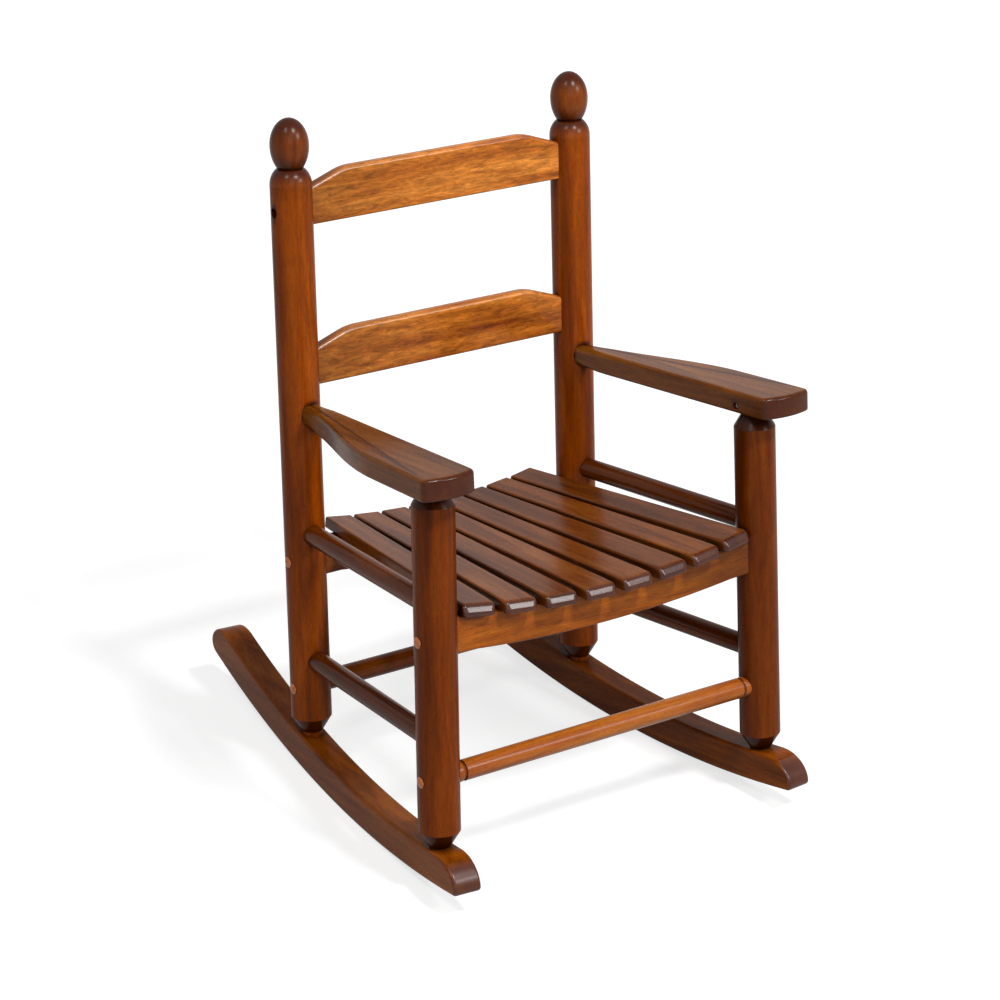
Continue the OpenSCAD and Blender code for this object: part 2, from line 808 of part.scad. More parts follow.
module rear_post_right() {
  color(stain) at_rest() on_side(1) rear_post();
}

module front_post_left() {
  color(stain) at_rest() on_side(-1) front_post();
}

module front_post_right() {
  color(stain) at_rest() on_side(1) front_post();
}

module rocker_left() {
  color(stain_dark) at_rest() on_side(-1) rocker();
}

module rocker_right() {
  color(stain_dark) at_rest() on_side(1) rocker();
}

module arm_left() {
  color(stain_dark) at_rest() on_side(-1) arm();
}

module arm_right() {
  color(stain_dark) at_rest() on_side(1) arm();
}

module back_slat_upper() {
  color(stain_back) at_rest() upper_back_slat();
}

module back_slat_lower() {
  color(stain_back) at_rest() back_slat(lower_back_h);
}

module seat_rail_front() {
  color(stain) at_rest() seat_rail(front_dish_r, front_x(rail_tenon_mid), 0);
}

module seat_rail_rear() {
  color(stain) at_rest() seat_rail(rear_dish_r, rear_x(rail_tenon_mid), rear_rail_y);
}

module seat_slat_1() {
  color(stain_seat) at_rest() seat_slat(1);
}

module seat_slat_2() {
  color(stain_seat) at_rest() seat_slat(2);
}

module seat_slat_3() {
  color(stain_seat) at_rest() seat_slat(3);
}

module seat_slat_4() {
  color(stain_seat) at_rest() seat_slat(4);
}

module seat_slat_5() {
  color(stain_seat) at_rest() seat_slat(5);
}

module seat_slat_6() {
  color(stain_seat) at_rest() seat_slat(6);
}

module seat_slat_7() {
  color(stain_seat) at_rest() seat_slat(7);
}

module seat_slat_8() {
  color(stain_seat) at_rest() seat_slat(8);
}

module stretcher_upper_left() {
  color(stain) at_rest() on_side(-1) side_bar(side_up_h, 0);
}

module stretcher_upper_right() {
  color(stain) at_rest() on_side(1) side_bar(side_up_h, 0);
}

module stretcher_lower_left() {
  color(stain) at_rest() on_side(-1) side_bar(side_low_h, 0);
}

module stretcher_lower_right() {
  color(stain) at_rest() on_side(1) side_bar(side_low_h, 0);
}

module stretcher_front() {
  color(stain) at_rest() front_stretcher();
}

module stretcher_rear() {
  color(stain) at_rest() rear_stretcher();
}

module button_plugs_front() {
  color(stain_plug) at_rest() front_fastenings("plug");
}

module button_plugs_rear() {
  color(stain_plug) at_rest() rear_fastenings("plug");
}

module post_screws_front() {
  color(steel) at_rest() front_fastenings("screw");
}

module post_screws_rear() {
  color(steel) at_rest() rear_fastenings("screw");
}

module back_slat_screws() {
  color(steel) at_rest() upper_back_slat_screws();
}

module arm_lock_screws() {
  color(steel) at_rest() lock_screws();
}

module rocker_screws() {
  color(steel) at_rest() foot_screws();
}

module seat_screws_front() {
  color(steel) at_rest() seat_screws(front_dish_r, 0);
}

module seat_screws_rear() {
  color(steel) at_rest() seat_screws(rear_dish_r, rear_rail_y);
}

rear_post_left();
rear_post_right();
front_post_left();
front_post_right();
rocker_left();
rocker_right();
arm_left();
arm_right();
back_slat_upper();
back_slat_lower();
seat_rail_front();
seat_rail_rear();
seat_slat_1();
seat_slat_2();
seat_slat_3();
seat_slat_4();
seat_slat_5();
seat_slat_6();
seat_slat_7();
seat_slat_8();
stretcher_upper_left();
stretcher_upper_right();
stretcher_lower_left();
stretcher_lower_right();
stretcher_front();
stretcher_rear();
button_plugs_front();
button_plugs_rear();
post_screws_front();
post_screws_rear();
back_slat_screws();
arm_lock_screws();
rocker_screws();
seat_screws_front();
seat_screws_rear();
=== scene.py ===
import math

import bmesh
import bpy
from mathutils import Matrix, Vector


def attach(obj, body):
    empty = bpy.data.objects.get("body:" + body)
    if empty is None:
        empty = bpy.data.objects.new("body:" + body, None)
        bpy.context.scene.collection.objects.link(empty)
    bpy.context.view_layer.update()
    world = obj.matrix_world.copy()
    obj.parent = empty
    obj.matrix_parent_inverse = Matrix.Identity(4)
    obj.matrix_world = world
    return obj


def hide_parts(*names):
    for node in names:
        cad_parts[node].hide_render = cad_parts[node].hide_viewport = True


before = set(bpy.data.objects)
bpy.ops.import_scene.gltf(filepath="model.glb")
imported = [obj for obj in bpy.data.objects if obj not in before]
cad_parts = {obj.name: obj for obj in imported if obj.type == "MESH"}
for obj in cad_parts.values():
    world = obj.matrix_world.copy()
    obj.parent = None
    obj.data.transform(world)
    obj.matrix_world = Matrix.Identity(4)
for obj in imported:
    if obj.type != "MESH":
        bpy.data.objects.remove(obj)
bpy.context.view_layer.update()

# A child's rocking chair in stained and lacquered wood. Every wooden piece is built here with its
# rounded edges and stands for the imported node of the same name; plugs and screws keep the packed
# meshes. Lengths are millimetres in the seat frame, which is square to the seat: its height is
# measured from the lowest point of the rolling edge and its depth from the front posts. Angles are
# degrees. The camera, the materials and the studio are in metres.
MM = 0.001

# Stance and posts
REST_TILT = 7.2
POST_D = 35
POST_R = POST_D / 2
FRONT_GAUGE = 330
REAR_GAUGE = 285
POST_SPACING = 230
FRONT_SPLAY = 1
REAR_SPLAY = 0.2
REAR_LEAN = 0.6
FINIAL_TIP_H = 588
FINIAL_H = 42
FINIAL_D = 32.5
FINIAL_MID = 0.46
NECK_D = 21
SHOULDER_H = 13
NECK_LEDGE = 0.9
NECK_GROOVE_DEPTH = 0.3
NECK_GROOVE_RUN = (0.1, 0.3)
TIP_BLUNT = 0.02
TAPER_H = 14
POST_TENON_D = 18
FOOT_TENON = 15
HEAD_TENON = 5
REST_GAP = 0.15

# Rockers
ROCKER_R = 948
ROCKER_H = 28.6
ROCKER_FLARE = 0.009
ROCKER_T = 25
ROCKER_LOW = 47.4
ROCKER_NOSE = 95
ROCKER_TAIL = 376
ROCKER_ROUND = 30
TAIL_UNDER_R = 11
NOSE_UNDER_R = 4

# Seat
SEAT_H = 225.6
SEAT_DISH = 6.4
SLATS = 8
SLAT_T = 10
SLAT_FRONT_W = 29.6
SLAT_REAR_W = 24.4
SLAT_PITCH_FRONT = 36.9
SLAT_PITCH_REAR = 28.4
SEAT_FRONT = 28
SEAT_FRONT_BOW = 12
SEAT_REAR = 17
SEAT_REAR_BOW = 4
NOSE_L = 9
NOSE_UNDER = 1
NOSE_FOOT = 1
NOSE_FACE_LOW = 3.6
NOSE_FACE_BACK = 3.2
NOSE_ROUND_R = 4.5
NOSE_CORNER_R = 4.5
NOSE_BLUNT = 0.2
TAIL_EDGE = 2.5
TAIL_UNDER_SHARE = 0.3
TAIL_CORNER_R = 2.2
TAIL_ANGLES = range(0, 85, 12)
RAIL_H = 30
RAIL_T = 16
RAIL_TENON_DROP = 17.6
RAIL_HOUSING = 4
RAIL_OVERRUN = 5
RAIL_EAR = 13.5
RAIL_CORNER_R = 3
RAIL_SKIN = 2

# Stretchers
DOWEL_D = 17.6
DOWEL_SEAT = 20
SIDE_LOW_H = 119
SIDE_UP_RISE = 25.4
FRONT_LOW_H = 89
REAR_LOW_H = 93
GROOVE_FROM_POST = 4.5
GROOVE_DEPTH = 1.4
GROOVE_ROUND_R = 0.3
# Depths below the bar's surface and places from the groove's middle towards the post
GROOVE_SHAPE = ((0, -1.2), (GROOVE_DEPTH, -0.3), (GROOVE_DEPTH, 0.3), (0.7, 0.9), (0.2, 1.6), (0, 2.6))

# Back
UPPER_BACK_DROP = 91
BACK_SPACING = 137
BACK_W = 43.8
BACK_T = 12
BACK_FLAT = 83
BACK_R = 50
BACK_SLOPE = 19
BACK_SEAT = 10
BACK_SCREW_UP = 14
BACK_SCREW_REACH = 30
BACK_CORNER_R = 4.5

# Arms
ARM_H = 334
ARM_T = 18.4
ARM_RISE = 1.3
ARM_FRONT = 39.4
ARM_BOW = 5.5
ARM_CORNER_R = 7
ARM_INNER = 141.5
ARM_OUTER = 190.6
ARM_SWEEP_START = 48
ARM_SWEEP = 172
ARM_TENON_W = 16.4
TONGUE_R = 6
TONGUE_GAP = 0.6
TONGUE_MORTISE = 8
ARM_CLEAR = 3
ARM_SEAT = 14
ARM_RUN_IN = 0.044
ARM_RUN_OUT = 0.064
RIM_SWELL_FROM = 30
RIM_SWELL = 28

# Screws and the holes over them
SCREW_D = 4.2
COUNTERBORE_D = 8.4
COUNTERBORE_DEPTH = 7
HEAD_H = 2.4
SEAT_SCREW_L = 28
SEAT_SCREW_IN = 7
LOCK_HOLE_D = 5.4
LOCK_HOLE_DROP = 3
LOCK_SINK = 4
LOCK_PILOT_END = 12
PILOT_SHARE = 0.7
ROCKER_SCREW_IN = 20
DRILL_OVERRUN = 2

# Softened edges, and how finely the meshes follow them
ROCKER_EDGE = 2.6
ARM_TOP_EDGE = 3.4
ARM_LOW_EDGE = 1.8
BACK_TOP_EDGE = 3.6
BACK_LOW_EDGE = 1.4
RAIL_EDGE = 1.6
SLAT_EDGE = 1.8
NOSE_EDGE = 3.2
TURNED_EDGE = 1.1
ROUND_STEPS = 5
LOW_RIM_SHARE = 0.3
TOP_RIM_SHARE = 0.6
CUT_SHARE = 0.49
MITRE_LIMIT = 0.5
SHARP_BEND = math.radians(12)
SUPPORT = 0.5
SUPPORT_SHARE = 0.3
LONGEST_STEP = 12
ON_AXIS = 1e-6
LATHE_SIDES = 96
DRILL_SIDES = 48
SHARP_EDGE = math.radians(40)

# Camera, fitted to the photograph's view
CAMERA_AT = (-1.5284, -2.1078, 1.4135)
CAMERA_AZIMUTH = -36.104
CAMERA_ELEVATION = 24.243
CAMERA_ROLL = 2.794
CAMERA_LENS = 120.94
SENSOR_W = 36
CLIP_END = 50

RAIL_MID_H = SEAT_H - RAIL_TENON_DROP
SIDE_UP_H = RAIL_MID_H + SIDE_UP_RISE
UPPER_BACK_H = FINIAL_TIP_H - UPPER_BACK_DROP
LOWER_BACK_H = UPPER_BACK_H - BACK_SPACING


def sin(degrees):
    return math.sin(math.radians(degrees))


def cos(degrees):
    return math.cos(math.radians(degrees))


def tan(degrees):
    return math.tan(math.radians(degrees))


def front_x(h):
    """Distance of a front post's axis from the chair's middle at height h."""
    return FRONT_GAUGE / 2 - (h - SIDE_LOW_H) * tan(FRONT_SPLAY)


def rear_x(h):
    return REAR_GAUGE / 2 - (h - SIDE_LOW_H) * tan(REAR_SPLAY)


def rear_y(h):
    return POST_SPACING - (h - SIDE_LOW_H) * tan(REAR_LEAN)


def rise(x, r):
    """How far a circle of radius r has left its tangent at a distance x."""
    return r - math.sqrt(r * r - x * x)


# Outlines


def arc(cx, cy, rx, ry, start, end, steps):
    """Points on an arc with half axes rx and ry."""
    angles = [start + (end - start) * i / steps for i in range(steps + 1)]
    return [(cx + rx * cos(a), cy + ry * sin(a)) for a in angles]


def softened(points, radius, closed=False, steps=ROUND_STEPS):
    """The outline with each sharp corner turned into a round arc."""
    result = []
    last = len(points) - 1
    neighbours = zip(points[-1:] + points[:-1], points, points[1:] + points[:1])
    for i, (before, point, after) in enumerate(neighbours):
        corner = Vector(point)
        back = Vector(before) - corner
        on = Vector(after) - corner
        bend = math.pi - back.angle(on) if closed or 0 < i < last else 0
        if bend < SHARP_BEND:
            result.append(point)
            continue
        cut = min(radius * math.tan(bend / 2), CUT_SHARE * back.length, CUT_SHARE * on.length)
        r = cut / math.tan(bend / 2)
        centre = corner + (back.normalized() + on.normalized()).normalized() * (r / math.cos(bend / 2))
        start = corner + back.normalized() * cut - centre
        end = corner + on.normalized() * cut - centre
        for k in range(steps + 1):
            share_start = math.sin(bend * (1 - k / steps)) / math.sin(bend)
            share_end = math.sin(bend * k / steps) / math.sin(bend)
            result.append(tuple(centre + start * share_start + end * share_end))
    return result


def supported(points, closed=False):
    """The outline with extra points near the ends of its long straight stretches."""
    result = []
    pairs = list(zip(points, points[1:] + points[:1])) if closed else list(zip(points, points[1:]))
    for start, end in pairs:
        a = Vector(start)
        b = Vector(end)
        length = (b - a).length
        result.append(tuple(a))
        if length > 4 * SUPPORT:
            inner = length - 2 * SUPPORT
            count = max(1, math.ceil(inner / LONGEST_STEP))
            for i in range(count + 1):
                result.append(tuple(a.lerp(b, (SUPPORT + inner * i / count) / length)))
    if not closed:
        result.append(points[-1])
    return result


def corner_directions(points):
    """For each point of a closed counter-clockwise outline, the step that insets both edges by one."""
    result = []
    for before, here, after in zip(points[-1:] + points[:-1], points, points[1:] + points[:1]):
        a = (Vector(here) - Vector(before)).normalized()
        b = (Vector(after) - Vector(here)).normalized()
        inward_a = Vector((-a.y, a.x))
        inward_b = Vector((-b.y, b.x))
        middle = (inward_a + inward_b).normalized()
        result.append(middle / max(MITRE_LIMIT, middle.dot(inward_a)))
    return result


# Meshes


def lathe(profile, sides=LATHE_SIDES):
    """Turns (radius, height) points round Z. The profile starts and ends on the axis."""
    bm = bmesh.new()
    rings = []
    for r, h in profile:
        if r < ON_AXIS:
            rings.append([bm.verts.new((0, 0, h))])
        else:
            turns = [360 * i / sides for i in range(sides)]
            rings.append([bm.verts.new((r * cos(a), r * sin(a), h)) for a in turns])
    for low, high in zip(rings, rings[1:]):
        for i in range(sides):
            j = (i + 1) % sides
            corners = [low[i % len(low)], low[j % len(low)], high[j % len(high)], high[i % len(high)]]
            distinct = list(dict.fromkeys(corners))
            if len(distinct) > 2:
                bm.faces.new(distinct)
    return bm


def bridge(bm, low, high):
    """Faces between two rings of equally many points."""
    for i in range(len(low)):
        j = (i + 1) % len(low)
        bm.faces.new((low[i], low[j], high[j], high[i]))


def board(outline, bottom, top, low_radii, top_radii):
    """A board with the closed outline in XY and rounded rims, with a radius for each point of it."""
    inward = corner_directions(outline)
    quarter = [90 * i / ROUND_STEPS for i in range(ROUND_STEPS + 1)]

    def ring(bm, height, radii, angle, extra_in=0, extra_down=0, up=1):
        verts = []
        for point, step, r in zip(outline, inward, radii):
            inset = r * (1 - cos(angle)) + extra_in
            x, y = Vector(point) + step * inset
            z = height - up * (r * (1 - sin(angle)) + extra_down)
            verts.append(bm.verts.new((x, y, z)))
        return verts

    bm = bmesh.new()
    rings = [ring(bm, bottom, low_radii, 90, extra_in=SUPPORT, up=-1)]
    rings += [ring(bm, bottom, low_radii, a, up=-1) for a in reversed(quarter)]
    rings.append(ring(bm, bottom, low_radii, 0, extra_down=SUPPORT, up=-1))
    rings.append(ring(bm, top, top_radii, 0, extra_down=SUPPORT))
    rings += [ring(bm, top, top_radii, a) for a in quarter]
    rings.append(ring(bm, top, top_radii, 90, extra_in=SUPPORT))
    for low, high in zip(rings, rings[1:]):
        bridge(bm, low, high)
    bm.faces.new(list(reversed(rings[0])))
    bm.faces.new(rings[-1])
    return bm


def loft(sections):
    """A skin over sections with equally many points, each section counter-clockwise seen from +Y."""
    bm = bmesh.new()
    rings = [[bm.verts.new(p) for p in section] for section in sections]
    for low, high in zip(rings, rings[1:]):
        bridge(bm, low, high)
    bm.faces.new(list(reversed(rings[0])))
    bm.faces.new(rings[-1])
    return bm


# Places in the seat frame


def turn(degrees, axis):
    return Matrix.Rotation(math.radians(degrees), 4, axis)


def move(x, y, z):
    return Matrix.Translation(Vector((x, y, z)) * MM)


MIRROR = Matrix.Scale(-1, 4, (1, 0, 0))


def mirrored(place, side):
    """A place for the right-hand side, or its mirror image on the left for side -1."""
    return place if side > 0 else MIRROR @ place @ MIRROR


AT_FRONT_POST = move(FRONT_GAUGE / 2, 0, SIDE_LOW_H) @ turn(-FRONT_SPLAY, "Y") @ move(0, 0, -SIDE_LOW_H)
AT_BACK = move(0, POST_SPACING, SIDE_LOW_H) @ turn(REAR_LEAN, "X") @ move(0, 0, -SIDE_LOW_H)
AT_REAR_POST = (
    move(REAR_GAUGE / 2, POST_SPACING, SIDE_LOW_H)
    @ turn(-REAR_SPLAY, "Y")
    @ turn(REAR_LEAN, "X")
    @ move(0, 0, -SIDE_LOW_H)
)
AT_ARM = move(0, 0, ARM_H) @ turn(-ARM_RISE, "X")
UPRIGHT_ACROSS = turn(90, "X")
UPRIGHT_ALONG = turn(90, "Z") @ turn(90, "X")
ALONG_X = turn(90, "Y")

TOE = math.degrees(math.atan((front_x(ROCKER_H) - rear_x(ROCKER_H)) / rear_y(ROCKER_H)))
LOW_X = front_x(ROCKER_H) - ROCKER_LOW * tan(TOE)


def rim_x(y):
    """Distance along a rocker from its lowest point to a post that stands at depth y."""
    return (y - ROCKER_LOW) / cos(TOE)


def depth_at(s):
    """Depth of a rocker's board at a distance s along its rolling edge."""
    return ROCKER_H + ROCKER_FLARE * s


def rocker_under(y):
    """Height of the rolling edge under a post that stands at depth y."""
    return rise(rim_x(y), ROCKER_R)


def rocker_top(y):
    along = math.asin(rim_x(y) / (ROCKER_R - ROCKER_H)) * ROCKER_R
    return ROCKER_R - math.sqrt((ROCKER_R - depth_at(along)) ** 2 - rim_x(y) ** 2)


def bent(s, n):
    """Bends a point of a straight board onto the rolling edge."""
    a = math.degrees(s / ROCKER_R)
    return ((ROCKER_R - n) * sin(a), ROCKER_R - (ROCKER_R - n) * cos(a))


def rocker_outline():
    """The rocker seen from its side, drawn straight and then bent onto the rolling edge."""
    under_from = NOSE_UNDER_R - ROCKER_NOSE
    under_to = ROCKER_TAIL - TAIL_UNDER_R
    top_from = ROCKER_ROUND - ROCKER_NOSE
    top_to = ROCKER_TAIL - ROCKER_ROUND
    under_steps = 60
    top_steps = 48
    tail_start = 8
    nose_end = 176
    tail_rise = depth_at(top_to) - TAIL_UNDER_R
    nose_rise = depth_at(top_from) - NOSE_UNDER_R
    under = [(under_from + (under_to - under_from) * i / under_steps, 0) for i in range(1, under_steps)]
    top = [top_to + (top_from - top_to) * i / top_steps for i in range(1, top_steps)]
    unbent = under
    unbent += arc(under_to, TAIL_UNDER_R, TAIL_UNDER_R, TAIL_UNDER_R, -90, 0, 8)
    unbent += arc(top_to, TAIL_UNDER_R, ROCKER_ROUND, tail_rise, tail_start, 90, 12)
    unbent += [(s, depth_at(s)) for s in top]
    unbent += arc(top_from, NOSE_UNDER_R, ROCKER_ROUND, nose_rise, 90, nose_end, 16)
    unbent += arc(under_from, NOSE_UNDER_R, NOSE_UNDER_R, NOSE_UNDER_R, 180, 270, 6)
    return [bent(s, n) for s, n in unbent]


def floor_place():
    """The seat frame's place on the floor: leaned back, with the rockers' lowest line at height zero."""
    points = rocker_outline()
    depth = [x * cos(TOE) * cos(REST_TILT) + (h - ROCKER_R) * sin(REST_TILT) for x, h in points]
    height = [(h - ROCKER_R) * cos(REST_TILT) - x * cos(TOE) * sin(REST_TILT) for x, h in points]
    low = min(height) - ROCKER_T / 2 * sin(TOE) * sin(REST_TILT)
    middle = (min(depth) + max(depth)) / 2
    return move(0, -middle, -low) @ turn(-REST_TILT, "X") @ move(0, -ROCKER_LOW, -ROCKER_R)


ON_FLOOR = floor_place()


# Pieces


def in_wood(mesh, place, grain_axis):
    """Writes each point's place in its own wood, and how far it faces along the grain and down."""
    back = place.inverted()
    turn_back = back.to_3x3()
    along = "XYZ".index(grain_axis)
    places = [tuple(back @ vertex.co) for vertex in mesh.vertices]
    facings = [abs((turn_back @ vertex.normal)[along]) for vertex in mesh.vertices]
    # How far each point faces down, for the shade painted on undersides
    downs = [max(0.0, -vertex.normal.z) for vertex in mesh.vertices]
    wood_place = mesh.attributes.new("wood_place", "FLOAT_VECTOR", "POINT")
    wood_place.data.foreach_set("vector", [c for point in places for c in point])
    end_grain = mesh.attributes.new("end_grain", "FLOAT", "POINT")
    end_grain.data.foreach_set("value", facings)
    underside = mesh.attributes.new("underside", "FLOAT", "POINT")
    underside.data.foreach_set("value", downs)


def set_down(bm, place, side):
    """Brings a mesh in millimetres to its place on the floor, mirrored to the left for side -1."""
    handed = Matrix.Identity(4) if side > 0 else MIRROR
    bmesh.ops.transform(bm, matrix=ON_FLOOR @ handed @ place @ Matrix.Scale(MM, 4), verts=bm.verts)
    bmesh.ops.recalc_face_normals(bm, faces=bm.faces)
    return bm


def as_object(name, bm):
    mesh = bpy.data.meshes.new(name)
    bm.to_mesh(mesh)
    bm.free()
    obj = bpy.data.objects.new(name, mesh)
    bpy.context.scene.collection.objects.link(obj)
    return obj


def drill(obj, cutters):
    """Cuts the cutters out of the piece and keeps the result as its mesh."""
    tools = [as_object("drill", bm) for bm in cutters]
    for tool in tools:
        modifier = obj.modifiers.new("drill", "BOOLEAN")
        modifier.operation = "DIFFERENCE"
        modifier.solver = "EXACT"
        modifier.object = tool
    bpy.context.view_layer.update()
    evaluated = obj.evaluated_get(bpy.context.evaluated_depsgraph_get())
    whole = obj.data
    obj.data = bpy.data.meshes.new_from_object(evaluated)
    obj.modifiers.clear()
    bpy.data.meshes.remove(whole)
    for tool in tools:
        bpy.data.meshes.remove(tool.data)


def piece(node, bm, place, grain_axis, side=1, cutters=()):
    """Makes the mesh a piece of wood at its place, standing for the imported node."""
    obj = as_object("wood_" + node, set_down(bm, place, side))
    if cutters:
        drill(obj, cutters)
    obj.data.shade_smooth()
    obj.data.set_sharp_from_angle(angle=SHARP_EDGE)
    in_wood(obj.data, ON_FLOOR @ mirrored(place, side), grain_axis)
    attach(obj, "root")
    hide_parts(node)
    return obj


def stepped_drill(steps, place, side=1):
    """A cutter along Z through (diameter, from, to) steps, each starting where the last ends."""
    profile = [(0, steps[0][1])]
    for diameter, start, end in steps:
        profile += [(diameter / 2, start), (diameter / 2, end)]
    profile.append((0, steps[-1][2]))
    return set_down(lathe(profile, DRILL_SIDES), place, side)


def tongue_drill(side):
    """Cutter for the mortise round an arm's tongue, open by a dark gap."""
    r = ARM_TENON_W / 2 + TONGUE_GAP
    up = (ARM_T - ARM_TENON_W) / 2
    middle = (arm_in(ARM_BACK) + arm_out(ARM_BACK)) / 2
    section = arc(0, up, r, r, 0, 180, 16) + arc(0, -up, r, r, 180, 360, 16)
    bm = bmesh.new()
    rings = []
    for y in (ARM_BACK, ARM_BACK + TONGUE_MORTISE):
        rings.append([bm.verts.new((middle + x, y, ARM_T / 2 + z)) for x, z in section])
    bridge(bm, rings[0], rings[1])
    bm.faces.new(rings[0])
    bm.faces.new(rings[1])
    return set_down(bm, AT_ARM, side)


def foot_profile(top, taper_from):
    """A post's lower end: the tenon in the rocker, then the cone up to the full diameter."""
    tenon_r = POST_TENON_D / 2
    return [
        (0, top - FOOT_TENON),
        (tenon_r, top - FOOT_TENON),
        (tenon_r, taper_from),
        (POST_R, taper_from + TAPER_H),
    ]


def front_post(side, node):
    arm_under = ARM_H - REST_GAP - POST_TENON_D / 2 * tan(ARM_RISE)
    tenon_r = POST_TENON_D / 2
    foot = foot_profile(rocker_top(0), rocker_top(-tenon_r) + REST_GAP)
    profile = foot + [
        (POST_R, arm_under - TAPER_H),
        (tenon_r, arm_under),
        (tenon_r, arm_under + HEAD_TENON),
        (0, arm_under + HEAD_TENON),
    ]
    return piece(node, lathe(supported(softened(profile, TURNED_EDGE))), AT_FRONT_POST, "Z", side)


def finial_profile():
    """Shoulder, a narrow ledge and a fine groove round the neck, and the egg."""
    egg_r = FINIAL_D / 2
    neck_r = NECK_D / 2
    neck_h = FINIAL_TIP_H - FINIAL_H
    mid_h = neck_h + FINIAL_H * FINIAL_MID
    down = (mid_h - neck_h) / math.sqrt(1 - (neck_r / egg_r) ** 2)
    low_angle = math.degrees(math.asin((mid_h - neck_h) / down))
    inward = POST_R - neck_r - NECK_LEDGE
    shoulder_r = (inward**2 + SHOULDER_H**2) / (2 * inward)
    shoulder_angle = math.degrees(math.asin(SHOULDER_H / shoulder_r))
    foot = neck_h - SHOULDER_H
    shoulder = arc(POST_R - shoulder_r, foot, shoulder_r, shoulder_r, 0, shoulder_angle, 14)
    egg_low = arc(0, mid_h, egg_r, down, -low_angle, 0, 12)
    tip_h = FINIAL_TIP_H - TIP_BLUNT
    egg_top = arc(0, mid_h, egg_r, tip_h - mid_h, 0, 90, 20)
    groove = [(neck_r - NECK_GROOVE_DEPTH, neck_h + up) for up in NECK_GROOVE_RUN]
    return shoulder + groove + egg_low[1:] + egg_top[1:-1] + [(0, tip_h)]


def rear_post(side, node):
    foot_y = rear_y(ROCKER_H)
    foot = foot_profile(rocker_top(foot_y), rocker_top(foot_y + POST_TENON_D / 2) + REST_GAP)
    finial = finial_profile()
    profile = supported(softened(foot + [finial[0]], TURNED_EDGE)) + finial[1:]
    hole_h = UPPER_BACK_H + BACK_SCREW_UP
    surface = rear_x(hole_h) + POST_R
    steps = [(SCREW_D, surface - BACK_SCREW_REACH, surface - COUNTERBORE_DEPTH)]
    steps.append((COUNTERBORE_D, surface - COUNTERBORE_DEPTH, surface + DRILL_OVERRUN))
    cutters = [tongue_drill(side), stepped_drill(steps, AT_BACK @ move(0, 0, hole_h) @ ALONG_X, side)]
    return piece(node, lathe(profile), AT_REAR_POST, "Z", side, cutters)


def rocker(side, node):
    outline = rocker_outline()
    radii = [ROCKER_EDGE] * len(outline)
    bm = board(outline, -ROCKER_T / 2, ROCKER_T / 2, radii, radii)
    place = move(LOW_X, ROCKER_LOW, 0) @ turn(TOE, "Z") @ UPRIGHT_ALONG
    cutters = []
    for post_place, y in ((AT_FRONT_POST, 0), (AT_REAR_POST, rear_y(ROCKER_H))):
        under = rocker_under(y)
        steps = [(COUNTERBORE_D, under - 2 * DRILL_OVERRUN, under + COUNTERBORE_DEPTH)]
        steps.append((SCREW_D, under + COUNTERBORE_DEPTH, under + ROCKER_SCREW_IN))
        cutters.append(stepped_drill(steps, post_place, side))
    return piece(node, bm, place, "X", side, cutters)


ARM_BACK = rear_y(ARM_H) - POST_R - ARM_CLEAR
TONGUE_END = ARM_BACK + ARM_CLEAR + ARM_SEAT


def arm_in(y):
    return ARM_INNER - y * ARM_RUN_IN


def sweep_part(y):
    """Share of the sweep that the arm's outer edge has made at depth y."""
    share = min(1, max(0, (y - ARM_SWEEP_START) / ARM_SWEEP))
    return (1 - cos(180 * share)) / 2


SWEEP_IN = (ARM_OUTER - ARM_BACK * ARM_RUN_OUT - arm_in(ARM_BACK) - ARM_TENON_W) / sweep_part(ARM_BACK)


def arm_out(y):
    return ARM_OUTER - y * ARM_RUN_OUT - SWEEP_IN * sweep_part(y)


def arm_outline():
    """The board seen from above, with the tongue that enters the rear post."""
    y_in = ARM_CORNER_R - ARM_FRONT
    middle = (arm_in(y_in) + arm_out(y_in)) / 2
    half = (arm_out(y_in) - arm_in(y_in)) / 2
    front_r = (half**2 + ARM_BOW**2) / (2 * ARM_BOW)
    corner_angle = math.degrees(math.asin((half - ARM_CORNER_R) / (front_r - ARM_CORNER_R)))
    corner_y = front_r - ARM_FRONT - (front_r - ARM_CORNER_R) * cos(corner_angle)
    parts = 40
    half_front = 5
    skipped = 12
    steps = 8
    depths = [ARM_BACK + (corner_y - ARM_BACK) * i / parts for i in range(parts + 1)]
    r = ARM_CORNER_R
    outer = [(arm_out(ARM_BACK), TONGUE_END)] + [(arm_out(y), y) for y in depths]
    outer_corner = arc(middle + half - r, corner_y, r, r, -skipped, corner_angle - 90, steps)
    front_angles = [corner_angle * (1 - i / half_front) for i in range(1, 2 * half_front)]
    front = [(middle + front_r * sin(a), front_r - ARM_FRONT - front_r * cos(a)) for a in front_angles]
    inner_corner = arc(middle - half + r, corner_y, r, r, -90 - corner_angle, skipped - 180, steps)
    inner = [(arm_in(y), y) for y in (corner_y, ARM_BACK)] + [(arm_in(ARM_BACK), TONGUE_END)]
    outline = list(reversed(outer + outer_corner + front + inner_corner + inner))
    return supported(softened(outline, ARM_TENON_W / 2, closed=True), closed=True)


def towards_tongue(y):
    """0 along the board, rising smoothly to 1 at the tongue."""
    share = min(1, max(0, (y - ARM_BACK + RIM_SWELL_FROM) / RIM_SWELL))
    return share * share * (3 - 2 * share)


